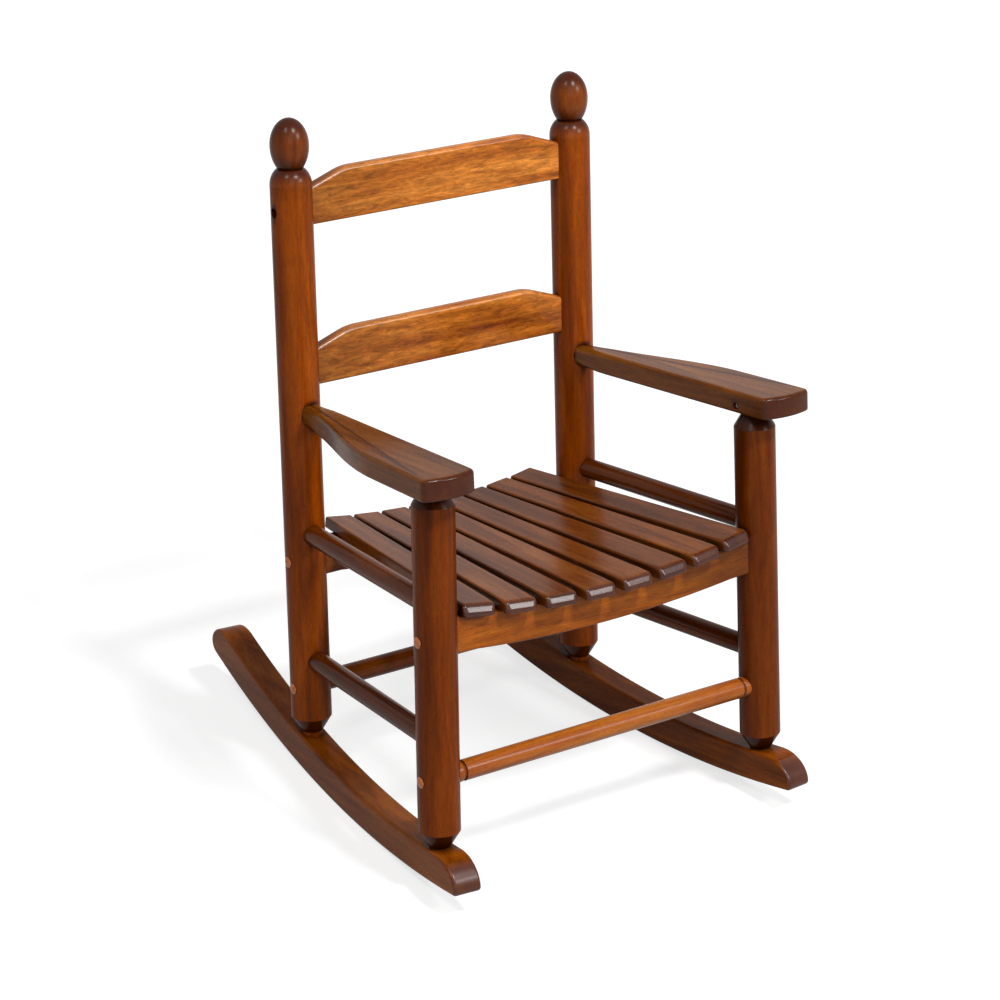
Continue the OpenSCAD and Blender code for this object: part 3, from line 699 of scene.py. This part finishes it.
def arm(side, node):
    outline = arm_outline()
    top_radii = [ARM_TOP_EDGE + (TONGUE_R - ARM_TOP_EDGE) * towards_tongue(y) for x, y in outline]
    low_radii = [ARM_LOW_EDGE + (TONGUE_R - ARM_LOW_EDGE) * towards_tongue(y) for x, y in outline]
    steps = [(LOCK_HOLE_D, -DRILL_OVERRUN, LOCK_SINK), (SCREW_D * PILOT_SHARE, LOCK_SINK, LOCK_PILOT_END)]
    place = AT_ARM @ move(ARM_INNER, 0, ARM_T / 2 - LOCK_HOLE_DROP) @ ALONG_X
    cutters = [stepped_drill(steps, place, side)]
    return piece(node, board(outline, 0, ARM_T, low_radii, top_radii), AT_ARM, "Y", side, cutters)


def back_fall(x, end_x):
    """Fall of a back slat's top edge at a distance x from the middle, level inside the posts."""
    out = max(0, min(x, end_x) - BACK_FLAT)
    curve = BACK_R * sin(BACK_SLOPE)
    if out < curve:
        return rise(out, BACK_R)
    return rise(curve, BACK_R) + (out - curve) * tan(BACK_SLOPE)


def back_slat(h, node):
    end_x = rear_x(h) - POST_R
    reach = end_x + BACK_SEAT
    parts = 16
    low_band = 1
    spots = [BACK_FLAT + (end_x - BACK_FLAT) * i / parts for i in range(parts + 1)]
    fall = [(x, h + BACK_W - back_fall(x, end_x)) for x in spots]
    fall.append((reach, fall[-1][1]))
    mirror_fall = [(-x, y) for x, y in fall]
    outline = [(-reach, h), (reach, h)] + list(reversed(fall)) + mirror_fall
    outline = supported(softened(outline, BACK_CORNER_R, closed=True), closed=True)
    radii = [BACK_LOW_EDGE if y < h + low_band else BACK_TOP_EDGE for x, y in outline]
    bm = board(outline, -BACK_T / 2, BACK_T / 2, radii, radii)
    return piece(node, bm, AT_BACK @ UPRIGHT_ACROSS, "X")


UNDER_H = SEAT_H - SLAT_T
RAIL_TOP_H = UNDER_H - REST_GAP
STEPS_OUT = (SLATS - 1) / 2
FRONT_DISH_R = SLAT_PITCH_FRONT * STEPS_OUT / sin(SEAT_DISH)
REAR_DISH_R = SLAT_PITCH_REAR * STEPS_OUT / sin(SEAT_DISH)
REAR_RAIL_Y = rear_y(RAIL_MID_H)


def slat_out(i):
    """Place of slat i across the seat, from -1 at the left to 1 at the right."""
    return (i - (SLATS + 1) / 2) / STEPS_OUT


def slat_roll(i):
    return math.degrees(math.asin(slat_out(i) * sin(SEAT_DISH)))


def at_dish(i, r, y):
    """Middle of slat i's underside on a rail with dish radius r."""
    x = r * sin(slat_roll(i))
    return move(x, y, UNDER_H + rise(x, r)) @ turn(-slat_roll(i), "Y")


def seat_rail(dish_r, x, y, node):
    reach = x - POST_R + RAIL_HOUSING + RAIL_OVERRUN
    ear = x - POST_R - RAIL_EAR
    parts = 36
    across = [reach * (2 * i / parts - 1) for i in range(parts + 1)]
    low = [(px, RAIL_TOP_H - RAIL_H + rise(min(abs(px), ear), dish_r + RAIL_H)) for px in across]
    top = [(px, RAIL_TOP_H + rise(px, dish_r)) for px in reversed(across)]
    outline = supported(softened(low + top, RAIL_CORNER_R, closed=True), closed=True)
    radii = [RAIL_EDGE] * len(outline)
    bm = board(outline, -RAIL_T / 2, RAIL_T / 2, radii, radii)
    bearing = SEAT_SCREW_IN + HEAD_H + REST_GAP - SEAT_SCREW_L
    below = -1.5 * RAIL_H
    steps = [(COUNTERBORE_D, below, bearing), (SCREW_D, bearing, -RAIL_SKIN)]
    cutters = [stepped_drill(steps, at_dish(i, dish_r, y)) for i in range(1, SLATS + 1)]
    return piece(node, bm, move(0, y, 0) @ UPRIGHT_ACROSS, "X", cutters=cutters)


def straight(a, b, steps):
    """Inner points of a straight stretch, the first and last close to its ends."""
    a = Vector(a)
    b = Vector(b)
    margin = min(SUPPORT / (b - a).length, SUPPORT_SHARE)
    return [tuple(a.lerp(b, margin + (1 - 2 * margin) * i / steps)) for i in range(steps + 1)]


def slat_section(y, half_w, low, high, top_edge):
    """Rounded rectangle of a slat at depth y, counter-clockwise seen from +Y."""
    r = min(SLAT_EDGE, LOW_RIM_SHARE * (high - low))
    top_r = min(top_edge, TOP_RIM_SHARE * (high - low))
    corners = [
        arc(top_r - half_w, high - top_r, top_r, top_r, 90, 180, ROUND_STEPS),
        arc(r - half_w, low + r, r, r, 180, 270, ROUND_STEPS),
        arc(half_w - r, low + r, r, r, 270, 360, ROUND_STEPS),
        arc(half_w - top_r, high - top_r, top_r, top_r, 0, 90, ROUND_STEPS),
    ]
    side_steps = 1
    face_steps = 4
    points = []
    for corner, following, steps in zip(corners, corners[1:] + corners[:1], (side_steps, face_steps) * 2):
        points += corner + straight(corner[-1], following[0], steps)
    return [(x, y, z) for x, z in points]


def seat_slat(i, node):
    roll = slat_roll(i)
    narrowing = REAR_DISH_R - FRONT_DISH_R
    drop = narrowing * (cos(roll) - 1)
    pitch = math.degrees(math.atan(drop / REAR_RAIL_Y))
    run = math.hypot(REAR_RAIL_Y, drop)
    fan = math.degrees(math.atan(narrowing * sin(roll) / run))
    front = (SEAT_FRONT_BOW * slat_out(i) ** 2 - SEAT_FRONT) / cos(fan)
    rear = (REAR_RAIL_Y + SEAT_REAR + SEAT_REAR_BOW * slat_out(i) ** 2) / cos(fan)

    def half_width(y):
        share = (y - front) / (rear - front)
        half = (SLAT_FRONT_W + (SLAT_REAR_W - SLAT_FRONT_W) * share) / 2
        near_front = max(0, NOSE_CORNER_R - NOSE_BLUNT - (y - front))
        near_rear = max(0, TAIL_CORNER_R - (rear - y))
        return half - rise(near_front, NOSE_CORNER_R) - rise(near_rear, TAIL_CORNER_R)

    def top_edge(y):
        share = min(1, max(0, (y - front) / (2 * NOSE_L)))
        return NOSE_EDGE + (SLAT_EDGE - NOSE_EDGE) * share

    stations = []
    nose = [(0, NOSE_UNDER + NOSE_FOOT), (0, NOSE_FACE_LOW), (NOSE_FACE_BACK, SLAT_T), (NOSE_L, SLAT_T)]
    for y, high in softened(nose, NOSE_ROUND_R, steps=8)[:-1]:
        low = rise(max(0, NOSE_UNDER - y), NOSE_UNDER)
        stations.append((front + y, low, high))
    middle_steps = 28
    start = front + NOSE_L + SUPPORT
    end = rear - TAIL_EDGE - SUPPORT
    for k in range(middle_steps + 1):
        stations.append((start + (end - start) * k / middle_steps, 0, SLAT_T))
    for angle in TAIL_ANGLES:
        y = rear - TAIL_EDGE + TAIL_EDGE * sin(angle)
        fall = 1 - cos(angle)
        stations.append((y, TAIL_UNDER_SHARE * TAIL_EDGE * fall, SLAT_T - TAIL_EDGE * fall))
    bm = loft([slat_section(y, half_width(y), low, high, top_edge(y)) for y, low, high in stations])
    place = at_dish(i, FRONT_DISH_R, 0) @ turn(pitch, "X") @ turn(-fan, "Z")
    return piece(node, bm, place, "Y")


def side_stretcher(h, side, node):
    inset = POST_R - DOWEL_SEAT
    run_in = front_x(h) - rear_x(h)
    length = math.hypot(run_in, rear_y(h)) - 2 * inset
    heading = math.degrees(math.atan(run_in / rear_y(h)))
    place = move(front_x(h), 0, h) @ turn(heading, "Z") @ turn(-90, "X") @ move(0, 0, inset)
    r = DOWEL_D / 2
    profile = [(0, 0), (r, 0), (r, length), (0, length)]
    return piece(node, lathe(supported(softened(profile, TURNED_EDGE))), place, "Z", side)


def cross_profile(reach, groove=()):
    """Profile of a round bar from -reach to reach, with one groove's outline mirrored to both ends."""
    r = DOWEL_D / 2
    left = [(radius, -x) for radius, x in reversed(groove)]
    return [(0, -reach), (r, -reach)] + left + list(groove) + [(r, reach), (0, reach)]


def front_stretcher(node):
    """Bar with a groove near each end and a rounded collar between the groove and the post."""
    x = front_x(FRONT_LOW_H)
    middle = x - POST_R - GROOVE_FROM_POST
    groove = [(DOWEL_D / 2 - depth, middle + out) for depth, out in GROOVE_SHAPE]
    profile = cross_profile(x - POST_R + DOWEL_SEAT, groove)
    place = move(0, 0, FRONT_LOW_H) @ ALONG_X
    return piece(node, lathe(supported(softened(profile, GROOVE_ROUND_R, steps=3))), place, "Z")


def rear_stretcher(node):
    profile = cross_profile(rear_x(REAR_LOW_H) - POST_R + DOWEL_SEAT)
    place = move(0, rear_y(REAR_LOW_H), REAR_LOW_H) @ ALONG_X
    return piece(node, lathe(supported(softened(profile, TURNED_EDGE))), place, "Z")


# Materials


class Nodes:
    """Short calls for building one material's node tree."""

    def __init__(self, name):
        self.material = bpy.data.materials.new(name)
        self.material.use_nodes = True
        self.tree = self.material.node_tree
        self.shader = self.tree.nodes["Principled BSDF"]

    def add(self, kind, inputs=(), **settings):
        node = self.tree.nodes.new(kind)
        for name, value in settings.items():
            setattr(node, name, value)
        for key, value in dict(inputs).items():
            self.put(node.inputs[key], value)
        return node

    def put(self, socket, value):
        if isinstance(value, bpy.types.NodeSocket):
            self.tree.links.new(value, socket)
        else:
            socket.default_value = value

    def noise(self, coordinates, scale, detail, roughness=0.5, distortion=0.0):
        inputs = {"Vector": coordinates, "Scale": scale, "Detail": detail}
        inputs.update({"Roughness": roughness, "Distortion": distortion})
        return self.add("ShaderNodeTexNoise", inputs).outputs["Fac"]

    def stretch(self, coordinates, scales, offset=(0, 0, 0)):
        inputs = {"Vector": coordinates, "Scale": scales, "Location": offset}
        return self.add("ShaderNodeMapping", inputs).outputs["Vector"]

    def levels(self, value, low, high, to_low=0.0, to_high=1.0):
        inputs = {"Value": value, "From Min": low, "From Max": high, "To Min": to_low, "To Max": to_high}
        return self.add("ShaderNodeMapRange", inputs).outputs["Result"]

    def apply(self, operation, a, b):
        node = self.add("ShaderNodeMath", operation=operation)
        self.put(node.inputs[0], a)
        self.put(node.inputs[1], b)
        return node.outputs["Value"]

    def total(self, a, share_a, b, share_b):
        """The sum of two values, each times its share."""
        return self.apply("ADD", self.apply("MULTIPLY", a, share_a), self.apply("MULTIPLY", b, share_b))

    def blend(self, factor, a, b, mode="MIX"):
        node = self.add("ShaderNodeMix", data_type="RGBA", blend_type=mode)
        self.put(node.inputs["Factor"], factor)
        self.put(node.inputs["A"], a)
        self.put(node.inputs["B"], b)
        return node.outputs["Result"]

    def scaled(self, tone, share):
        """The tone times a share that is the same for red, green and blue."""
        grey = self.add("ShaderNodeCombineColor", {"Red": share, "Green": share, "Blue": share})
        return self.blend(1.0, tone, grey.outputs["Color"], "MULTIPLY")

    def ramp(self, value, stops):
        node = self.add("ShaderNodeValToRGB", {"Fac": value})
        elements = node.color_ramp.elements
        elements[0].position, elements[0].color = stops[0]
        elements[1].position, elements[1].color = stops[-1]
        for position, colour in stops[1:-1]:
            elements.new(position).color = colour
        return node.outputs["Color"]

    def attribute(self, name):
        return self.add("ShaderNodeAttribute", attribute_name=name).outputs["Fac"]

    def surface(self, inputs):
        """Sets the shader's own inputs, or links them."""
        for key, value in inputs.items():
            self.put(self.shader.inputs[key], value)

    def bump(self, strength, distance, height):
        inputs = {"Strength": strength, "Distance": distance, "Height": height}
        self.surface({"Normal": self.add("ShaderNodeBump", inputs).outputs["Normal"]})


def colour(red, green, blue):
    """A colour written as sRGB from 0 to 255, in the linear values that nodes take."""
    def linear(c):
        c /= 255
        return c / 12.92 if c <= 0.04045 else ((c + 0.055) / 1.055) ** 2.4
    return (linear(red), linear(green), linear(blue), 1.0)


def along_grain(axis, across, along):
    """Scales that stretch a pattern along one axis of the piece."""
    return tuple(along if a == axis else across for a in "XYZ")


def shaded(tone, shade):
    """The tone with its red, green and blue times shade."""
    return tuple(c * shade for c in tone[:3]) + (1.0,)


# Lacquer, as the weight and roughness of its coat. A gloss is for where it lies thicker.
SATIN = (0.2, 0.16)
THIN_COAT = (0.1, 0.2)
BAR_COAT = (0.4, 0.28)
SEAT_COAT = (0.18, 0.18)
TURNED_GLOSS = (0.26, 0.26)
END_GLOSS = (0.58, 0.24)
EDGE_GLOSS = (1.0, 0.3)
ARM_GLOSS = (0.28, 0.2)
ROCKER_GLOSS = (0.65, 0.3)

# Fades, as two places along the grain and the share of the tone that is left at each
EGG_FADE = (0.520, 0.548, 1.0, 0.64)
# Painted shade: the back slats darker towards their left ends
BACK_PAINTED_SHADE = (-0.13, -0.03, 0.56, 1.0)
# Painted shadow: the seat rails darker towards their right ends
RAIL_PAINTED_SHADE = (0.02, 0.12, 1.0, 0.52)

TONES = ("dark", "middle", "light", "end")


def stain(dark, middle, light, end, coat=SATIN, gloss=END_GLOSS, patches=0.5, fade=None):
    """A stain's tones on darker and lighter growth and on end grain, its lacquer and its patchiness."""
    tones = {name: colour(*tone) for name, tone in zip(TONES, (dark, middle, light, end))}
    return {"tones": tones, "coat": coat, "gloss": gloss, "patches": patches, "fade": fade}


REAR_POST_STAIN = stain(
    (96, 38, 2), (138, 61, 3), (163, 79, 8), (56, 16, 3), THIN_COAT, TURNED_GLOSS, fade=EGG_FADE
)
FRONT_POST_STAIN = stain((82, 31, 1), (118, 50, 2), (140, 66, 6), (44, 11, 2), THIN_COAT, TURNED_GLOSS)
BACK_STAIN = stain(
    (134, 62, 16), (197, 111, 34), (230, 146, 60), (110, 50, 14), SATIN, EDGE_GLOSS, 1.7, BACK_PAINTED_SHADE
)
RAIL_STAIN = stain((108, 48, 5), (152, 76, 10), (182, 100, 20), (80, 30, 6), patches=0.9, fade=RAIL_PAINTED_SHADE)
ARM_STAIN = stain((78, 36, 5), (114, 60, 10), (140, 82, 24), (58, 15, 2), gloss=ARM_GLOSS)
ROCKER_STAIN = stain((90, 39, 4), (130, 63, 6), (156, 85, 20), (58, 14, 2), THIN_COAT, ROCKER_GLOSS)
DOWEL_STAIN = stain((70, 28, 3), (104, 46, 5), (132, 64, 12), (60, 20, 5))
FRONT_BAR_STAIN = stain((112, 50, 9), (154, 77, 18), (182, 106, 34), (90, 36, 10), BAR_COAT)
SEAT_STAIN = stain((78, 34, 6), (114, 57, 12), (140, 79, 25), (52, 10, 2), SEAT_COAT, patches=0.7)

# Dark tone of pores, of stain and painted shade in crevices, and of painted shade on undersides
PORE_AND_SHADE_TONE = colour(36, 12, 4)

# Patterns: changes per metre across and along the grain, then detail, roughness and distortion
STREAKS = (95, 7, 4.0, 0.55, 0.7)
BANDS = (34, 3, 2.0, 0.5, 0.4)
GRAIN = (900, 60, 3.0, 0.6, 0.0)
PORES = (1500, 260, 1.0, 0.5, 0.0)
BLOTCHES = (240, 60, 6.0, 0.7, 0.8)
PEEL = (230, 230, 1.0, 0.5, 0.0)
SEED_STEP = (0.37, 0.61, 0.83)

# The part of each pattern's or attribute's range that counts
NOISE_RANGE = (0.3, 0.7)
FIGURE_RANGE = (0.34, 0.66)
BLOTCH_RANGE = (0.33, 0.67)
PORE_RANGE = (0.62, 0.74)
CREVICE_RANGE = (0.8, 0.35)
END_RANGE = (0.15, 0.6)
UNDER_SHADE_RANGE = (0.1, 0.8)

# How strongly each shows in the tone, the roughness and the relief
STREAK_SHARE = 0.62
GRAIN_DEPTH = 0.14
GRAIN_PEAK = 1.08
PATCH_DEPTH = 0.28
PATCH_LIFT = 0.6
PORE_SHARE = 0.5
# Reach and share of the crevices' painted shade and gathered stain
CREVICE_REACH = 0.014
CREVICE_SHARE = 0.8
END_SHARE = 0.85
UNDER_SHADE_SHARE = 0.6
WOOD_ROUGHNESS = (0.24, 0.32)
PORE_ROUGHNESS = 0.3
WOOD_SPECULAR = 0.02
GRAIN_RELIEF = 0.4
PEEL_RELIEF = 0.5
WOOD_BUMP = (0.12, 0.0004)


def stained_wood(name, axis, seed, look, shade, coat):
    """Stained wood under lacquer: streaks, patches, fine grain, pores, darker end grain and painted
    shade.
    """
    n = Nodes(name)
    dark, middle, light, end = [shaded(look["tones"][key], shade) for key in TONES]
    place = n.add("ShaderNodeAttribute", attribute_name="wood_place").outputs["Vector"]
    offset = tuple(seed * step for step in SEED_STEP)

    def pattern(across, along, *texture):
        return n.noise(n.stretch(place, along_grain(axis, across, along), offset), 1.0, *texture)

    streaks = pattern(*STREAKS)
    bands = pattern(*BANDS)
    grain = pattern(*GRAIN)
    pores = pattern(*PORES)
    blotches = pattern(*BLOTCHES)
    figure = n.total(streaks, STREAK_SHARE, bands, 1 - STREAK_SHARE)
    tone = n.ramp(n.levels(figure, *FIGURE_RANGE), [(0.0, dark), (0.5, middle), (1.0, light)])
    grain_low = 1 - GRAIN_DEPTH * (0.5 + look["patches"])
    patch = PATCH_DEPTH * look["patches"]
    fine = n.levels(grain, *NOISE_RANGE, grain_low, GRAIN_PEAK)
    broad = n.levels(blotches, *BLOTCH_RANGE, 1 - patch, 1 + PATCH_LIFT * patch)
    tone = n.scaled(tone, n.apply("MULTIPLY", fine, broad))
    # Darkening along the grain; on the back slats and the rails it is painted shade
    if look["fade"]:
        along = n.add("ShaderNodeSeparateXYZ", {"Vector": place}).outputs[axis]
        tone = n.scaled(tone, n.levels(along, *look["fade"]))
    pore_mask = n.levels(pores, *PORE_RANGE, 0.0, PORE_SHARE)
    tone = n.blend(pore_mask, tone, PORE_AND_SHADE_TONE)
    # Painted shade in crevices and where parts meet, standing also for stain gathered in the joints
    crevice_shade_and_stain = n.add("ShaderNodeAmbientOcclusion", {"Distance": CREVICE_REACH}, samples=8).outputs["AO"]
    tone = n.blend(n.levels(crevice_shade_and_stain, *CREVICE_RANGE, 0.0, CREVICE_SHARE), tone, PORE_AND_SHADE_TONE)
    tone = n.blend(n.levels(n.attribute("end_grain"), *END_RANGE, 0.0, END_SHARE), tone, end)
    # Painted shade on faces that look down
    tone = n.blend(n.levels(n.attribute("underside"), *UNDER_SHADE_RANGE, 0.0, UNDER_SHADE_SHARE), tone, PORE_AND_SHADE_TONE)
    roughness = n.levels(blotches, *NOISE_RANGE, *WOOD_ROUGHNESS)
    roughness = n.apply("ADD", roughness, n.apply("MULTIPLY", pore_mask, PORE_ROUGHNESS))
    n.surface({"Base Color": tone, "Roughness": roughness, "Specular IOR Level": WOOD_SPECULAR})
    n.surface({"Coat Weight": coat[0], "Coat Roughness": coat[1]})
    relief = n.total(grain, GRAIN_RELIEF, pattern(*PEEL), PEEL_RELIEF)
    n.bump(*WOOD_BUMP, n.apply("SUBTRACT", relief, pore_mask))
    return n.material


# Screw steel
ZINC = (colour(168, 166, 160), colour(205, 202, 194))
SCRATCH_SCALES = (900, 2400, 900)
CLOUD_SCALE = 180.0
STEEL_ROUGHNESS = (0.24, 0.4)
STEEL_BUMP = (0.1, 0.0002)


def steel():
    """Bright zinc-plated steel with fine scratches."""
    n = Nodes("screw_steel")
    place = n.add("ShaderNodeTexCoord").outputs["Object"]
    scratches = n.noise(n.stretch(place, SCRATCH_SCALES), 1.0, 3.0)
    clouding = n.noise(place, CLOUD_SCALE, 3.0)
    roughness = n.levels(scratches, *NOISE_RANGE, *STEEL_ROUGHNESS)
    n.surface({"Base Color": n.blend(clouding, *ZINC), "Roughness": roughness, "Metallic": 1.0})
    n.bump(*STEEL_BUMP, scratches)
    return n.material


# Plug wood, with its tones at their places in the pattern
PLUG_TONES = ((0.3, colour(150, 78, 38)), (0.5, colour(182, 104, 60)), (0.7, colour(204, 130, 86)))
RING_SCALES = (60, 700, 700)
PLUG_ROUGHNESS = (0.4, 0.5)
PLUG_SPECULAR = 0.2
PLUG_COAT = 0.2
PLUG_BUMP = (0.15, 0.0003)


def plug_wood():
    """End grain of the lighter plugs, read in the chair's own frame."""
    n = Nodes("plug_wood")
    place = n.add("ShaderNodeTexCoord").outputs["Object"]
    rings = n.noise(n.stretch(place, RING_SCALES), 1.0, 3.0, 0.6)
    roughness = n.levels(rings, *NOISE_RANGE, *PLUG_ROUGHNESS)
    n.surface({"Base Color": n.ramp(rings, PLUG_TONES), "Roughness": roughness})
    n.surface({"Specular IOR Level": PLUG_SPECULAR, "Coat Weight": PLUG_COAT})
    n.bump(*PLUG_BUMP, rings)
    return n.material


def wear(obj, material):
    obj.data.materials.clear()
    obj.data.materials.append(material)


# How far a face looks along the grain to be an end, and up to be on a slat's rounded top edge
END_FACING = 0.42
ANY_FACING = -1
TOP_EDGE_FACING = (0.3, 0.93)


def at_ends(obj, axis, low_reach, high_reach, facing=END_FACING):
    """The faces near the low or the high end along the grain that look along it by more than facing."""
    places = [point.vector["XYZ".index(axis)] for point in obj.data.attributes["wood_place"].data]
    grain = [point.value for point in obj.data.attributes["end_grain"].data]
    low = min(places) + low_reach * MM
    high = max(places) - high_reach * MM
    chosen = []
    for face in obj.data.polygons:
        spots = [places[v] for v in face.vertices]
        looks = sum(grain[v] for v in face.vertices) / len(face.vertices)
        if (max(spots) < low or min(spots) > high) and looks > facing:
            chosen.append(face)
    return chosen


def on_top_edge(obj):
    """The faces of a back slat's rounded top edges."""
    low, high = TOP_EDGE_FACING
    return [face for face in obj.data.polygons if low < face.normal.z < high]


# The chair

# Shades of the stain on each piece's own cut of wood
REAR_POST_SHADES = {"left": 0.98, "right": 1.0}
FRONT_POST_SHADES = {"left": 0.92, "right": 0.7}
UPPER_STRETCHER_SHADE = 0.9
LOWER_BACK_SHADE = 0.94
REAR_RAIL_SHADE = 0.8
SLAT_SHADES = (0.95, 1.1, 0.9, 1.05, 1.0, 0.92, 1.08, 0.9)

# How far the thicker lacquer reaches from the front end of an arm or a seat slat
FRONT_GLOSS_L = 20


def build_chair():
    """Every wooden piece, with its own cut of wood and shade of the stain, and its glossier faces."""
    made = []

    def add(obj, axis, look, shade=1.0, glossy=()):
        made.append((obj, axis, look, shade, glossy))

    for side, hand in ((-1, "left"), (1, "right")):
        post = rear_post(side, "rear_post_" + hand)
        glossy = at_ends(post, "Z", 0, FINIAL_H + SHOULDER_H, ANY_FACING)
        add(post, "Z", REAR_POST_STAIN, REAR_POST_SHADES[hand], glossy)
        post = front_post(side, "front_post_" + hand)
        glossy = at_ends(post, "Z", 0, TAPER_H + HEAD_TENON, ANY_FACING)
        add(post, "Z", FRONT_POST_STAIN, FRONT_POST_SHADES[hand], glossy)
        runner = rocker(side, "rocker_" + hand)
        add(runner, "X", ROCKER_STAIN, glossy=at_ends(runner, "X", ROCKER_ROUND, ROCKER_ROUND))
        armrest = arm(side, "arm_" + hand)
        add(armrest, "Y", ARM_STAIN, glossy=at_ends(armrest, "Y", FRONT_GLOSS_L, 0))
        upper = side_stretcher(SIDE_UP_H, side, "stretcher_upper_" + hand)
        add(upper, "Z", DOWEL_STAIN, UPPER_STRETCHER_SHADE)
        add(side_stretcher(SIDE_LOW_H, side, "stretcher_lower_" + hand), "Z", DOWEL_STAIN)
    for h, height, shade in ((UPPER_BACK_H, "upper", 1.0), (LOWER_BACK_H, "lower", LOWER_BACK_SHADE)):
        slat = back_slat(h, "back_slat_" + height)
        add(slat, "X", BACK_STAIN, shade, on_top_edge(slat))
    add(seat_rail(FRONT_DISH_R, front_x(RAIL_MID_H), 0, "seat_rail_front"), "X", RAIL_STAIN)
    rail = seat_rail(REAR_DISH_R, rear_x(RAIL_MID_H), REAR_RAIL_Y, "seat_rail_rear")
    add(rail, "X", RAIL_STAIN, REAR_RAIL_SHADE)
    add(front_stretcher("stretcher_front"), "Z", FRONT_BAR_STAIN)
    add(rear_stretcher("stretcher_rear"), "Z", DOWEL_STAIN)
    for i, shade in enumerate(SLAT_SHADES, start=1):
        slat = seat_slat(i, "seat_slat_%d" % i)
        add(slat, "Y", SEAT_STAIN, shade, at_ends(slat, "Y", FRONT_GLOSS_L, 0))
    for seed, (obj, axis, look, shade, glossy) in enumerate(made, start=1):
        wear(obj, stained_wood(obj.name, axis, seed, look, shade, look["coat"]))
        if glossy:
            gloss = stained_wood(obj.name + "_gloss", axis, seed, look, shade, look["gloss"])
            obj.data.materials.append(gloss)
            for face in glossy:
                face.material_index = 1


def dress_packed_nodes():
    """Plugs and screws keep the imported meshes."""
    plug = plug_wood()
    metal = steel()
    for name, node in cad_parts.items():
        if "plugs" in name:
            wear(node, plug)
        elif "screws" in name:
            wear(node, metal)


# Studio

WORLD_LIGHT = 0.16
FLOOR_SIZE = 40
FLOOR_GREY = 0.45
# Distances from the chair's middle, and the floor's own white at each
FLOOR_RUN = (0.5, 2.5)
FLOOR_LIFT = (0.72, 0.95)
LAMP_AIM = (0, 0, 0.28)
# Name, direction from the chair, distance, width, height and watts
LAMPS = (
    ("key", (0.43, -0.74, 0.52), 4.4, 1.1, 0.6, 68),
    ("fill", (-0.54, -0.18, 0.82), 4.4, 0.6, 0.8, 45),
    ("top", (0.10, -0.55, 0.83), 4.4, 0.6, 0.45, 118),
    ("front", (-0.35, -0.80, 0.50), 4.5, 2.5, 2.5, 28),
)


def make_camera():
    camera = bpy.data.objects.new("camera", bpy.data.cameras.new("camera"))
    bpy.context.scene.collection.objects.link(camera)
    camera.data.lens = CAMERA_LENS
    camera.data.sensor_width = SENSOR_W
    camera.data.clip_end = CLIP_END
    across = cos(CAMERA_ELEVATION)
    back = Vector((sin(CAMERA_AZIMUTH) * across, -cos(CAMERA_AZIMUTH) * across, sin(CAMERA_ELEVATION)))
    level = Vector((cos(CAMERA_AZIMUTH), sin(CAMERA_AZIMUTH), 0))
    up = back.cross(level)
    right = level * cos(CAMERA_ROLL) + up * sin(CAMERA_ROLL)
    top = up * cos(CAMERA_ROLL) - level * sin(CAMERA_ROLL)
    rotation = Matrix((right, top, back)).transposed()
    camera.matrix_world = Matrix.Translation(CAMERA_AT) @ rotation.to_4x4()
    bpy.context.scene.camera = camera


def seen_directly(tree):
    """1 for rays from the camera, a mirror or glass, which see the backdrop as plain white."""
    light_path = tree.nodes.new("ShaderNodeLightPath")
    total = light_path.outputs["Is Camera Ray"]
    for name in ("Is Glossy Ray", "Is Transmission Ray"):
        node = tree.nodes.new("ShaderNodeMath")
        node.operation = "MAXIMUM"
        tree.links.new(total, node.inputs[0])
        tree.links.new(light_path.outputs[name], node.inputs[1])
        total = node.outputs["Value"]
    return total


def make_world():
    """White as seen, and a weaker white as light."""
    world = bpy.data.worlds.new("studio")
    bpy.context.scene.world = world
    world.use_nodes = True
    tree = world.node_tree
    background = tree.nodes["Background"]
    background.inputs["Color"].default_value = (1, 1, 1, 1)
    strength = tree.nodes.new("ShaderNodeMapRange")
    strength.inputs["To Min"].default_value = WORLD_LIGHT
    strength.inputs["To Max"].default_value = 1.0
    tree.links.new(seen_directly(tree), strength.inputs["Value"])
    tree.links.new(strength.outputs["Result"], background.inputs["Strength"])


def make_floor():
    """Paper, lifted towards white where it is seen, less so near the chair so that its shadow stays."""
    mesh = bpy.data.meshes.new("floor")
    half = FLOOR_SIZE / 2
    corners = [(-half, -half, 0), (half, -half, 0), (half, half, 0), (-half, half, 0)]
    mesh.from_pydata(corners, [], [(0, 1, 2, 3)])
    floor = bpy.data.objects.new("floor", mesh)
    bpy.context.scene.collection.objects.link(floor)
    n = Nodes("floor_paper")
    n.surface({"Base Color": (FLOOR_GREY, FLOOR_GREY, FLOOR_GREY, 1), "Emission Color": (1, 1, 1, 1)})
    n.surface({"Roughness": 1.0, "Specular IOR Level": 0.0})
    place = n.add("ShaderNodeTexCoord").outputs["Object"]
    away = n.add("ShaderNodeVectorMath", {"Vector": place}, operation="LENGTH").outputs["Value"]
    lift = n.levels(away, *FLOOR_RUN, *FLOOR_LIFT)
    n.surface({"Emission Strength": n.apply("MULTIPLY", seen_directly(n.tree), lift)})
    floor.data.materials.append(n.material)


def softbox(name, towards, distance, width, height, power):
    """A rectangular lamp in a direction from the chair's middle, turned to face it."""
    data = bpy.data.lights.new(name, "AREA")
    data.shape = "RECTANGLE"
    data.size = width
    data.size_y = height
    data.energy = power
    lamp = bpy.data.objects.new(name, data)
    bpy.context.scene.collection.objects.link(lamp)
    away = Vector(towards).normalized()
    facing = away.to_track_quat("Z", "Y").to_matrix().to_4x4()
    lamp.matrix_world = Matrix.Translation(Vector(LAMP_AIM) + away * distance) @ facing


make_camera()
make_world()
make_floor()
for lamp in LAMPS:
    softbox(*lamp)
build_chair()
dress_packed_nodes()
bpy.context.scene.view_settings.view_transform = "Standard"
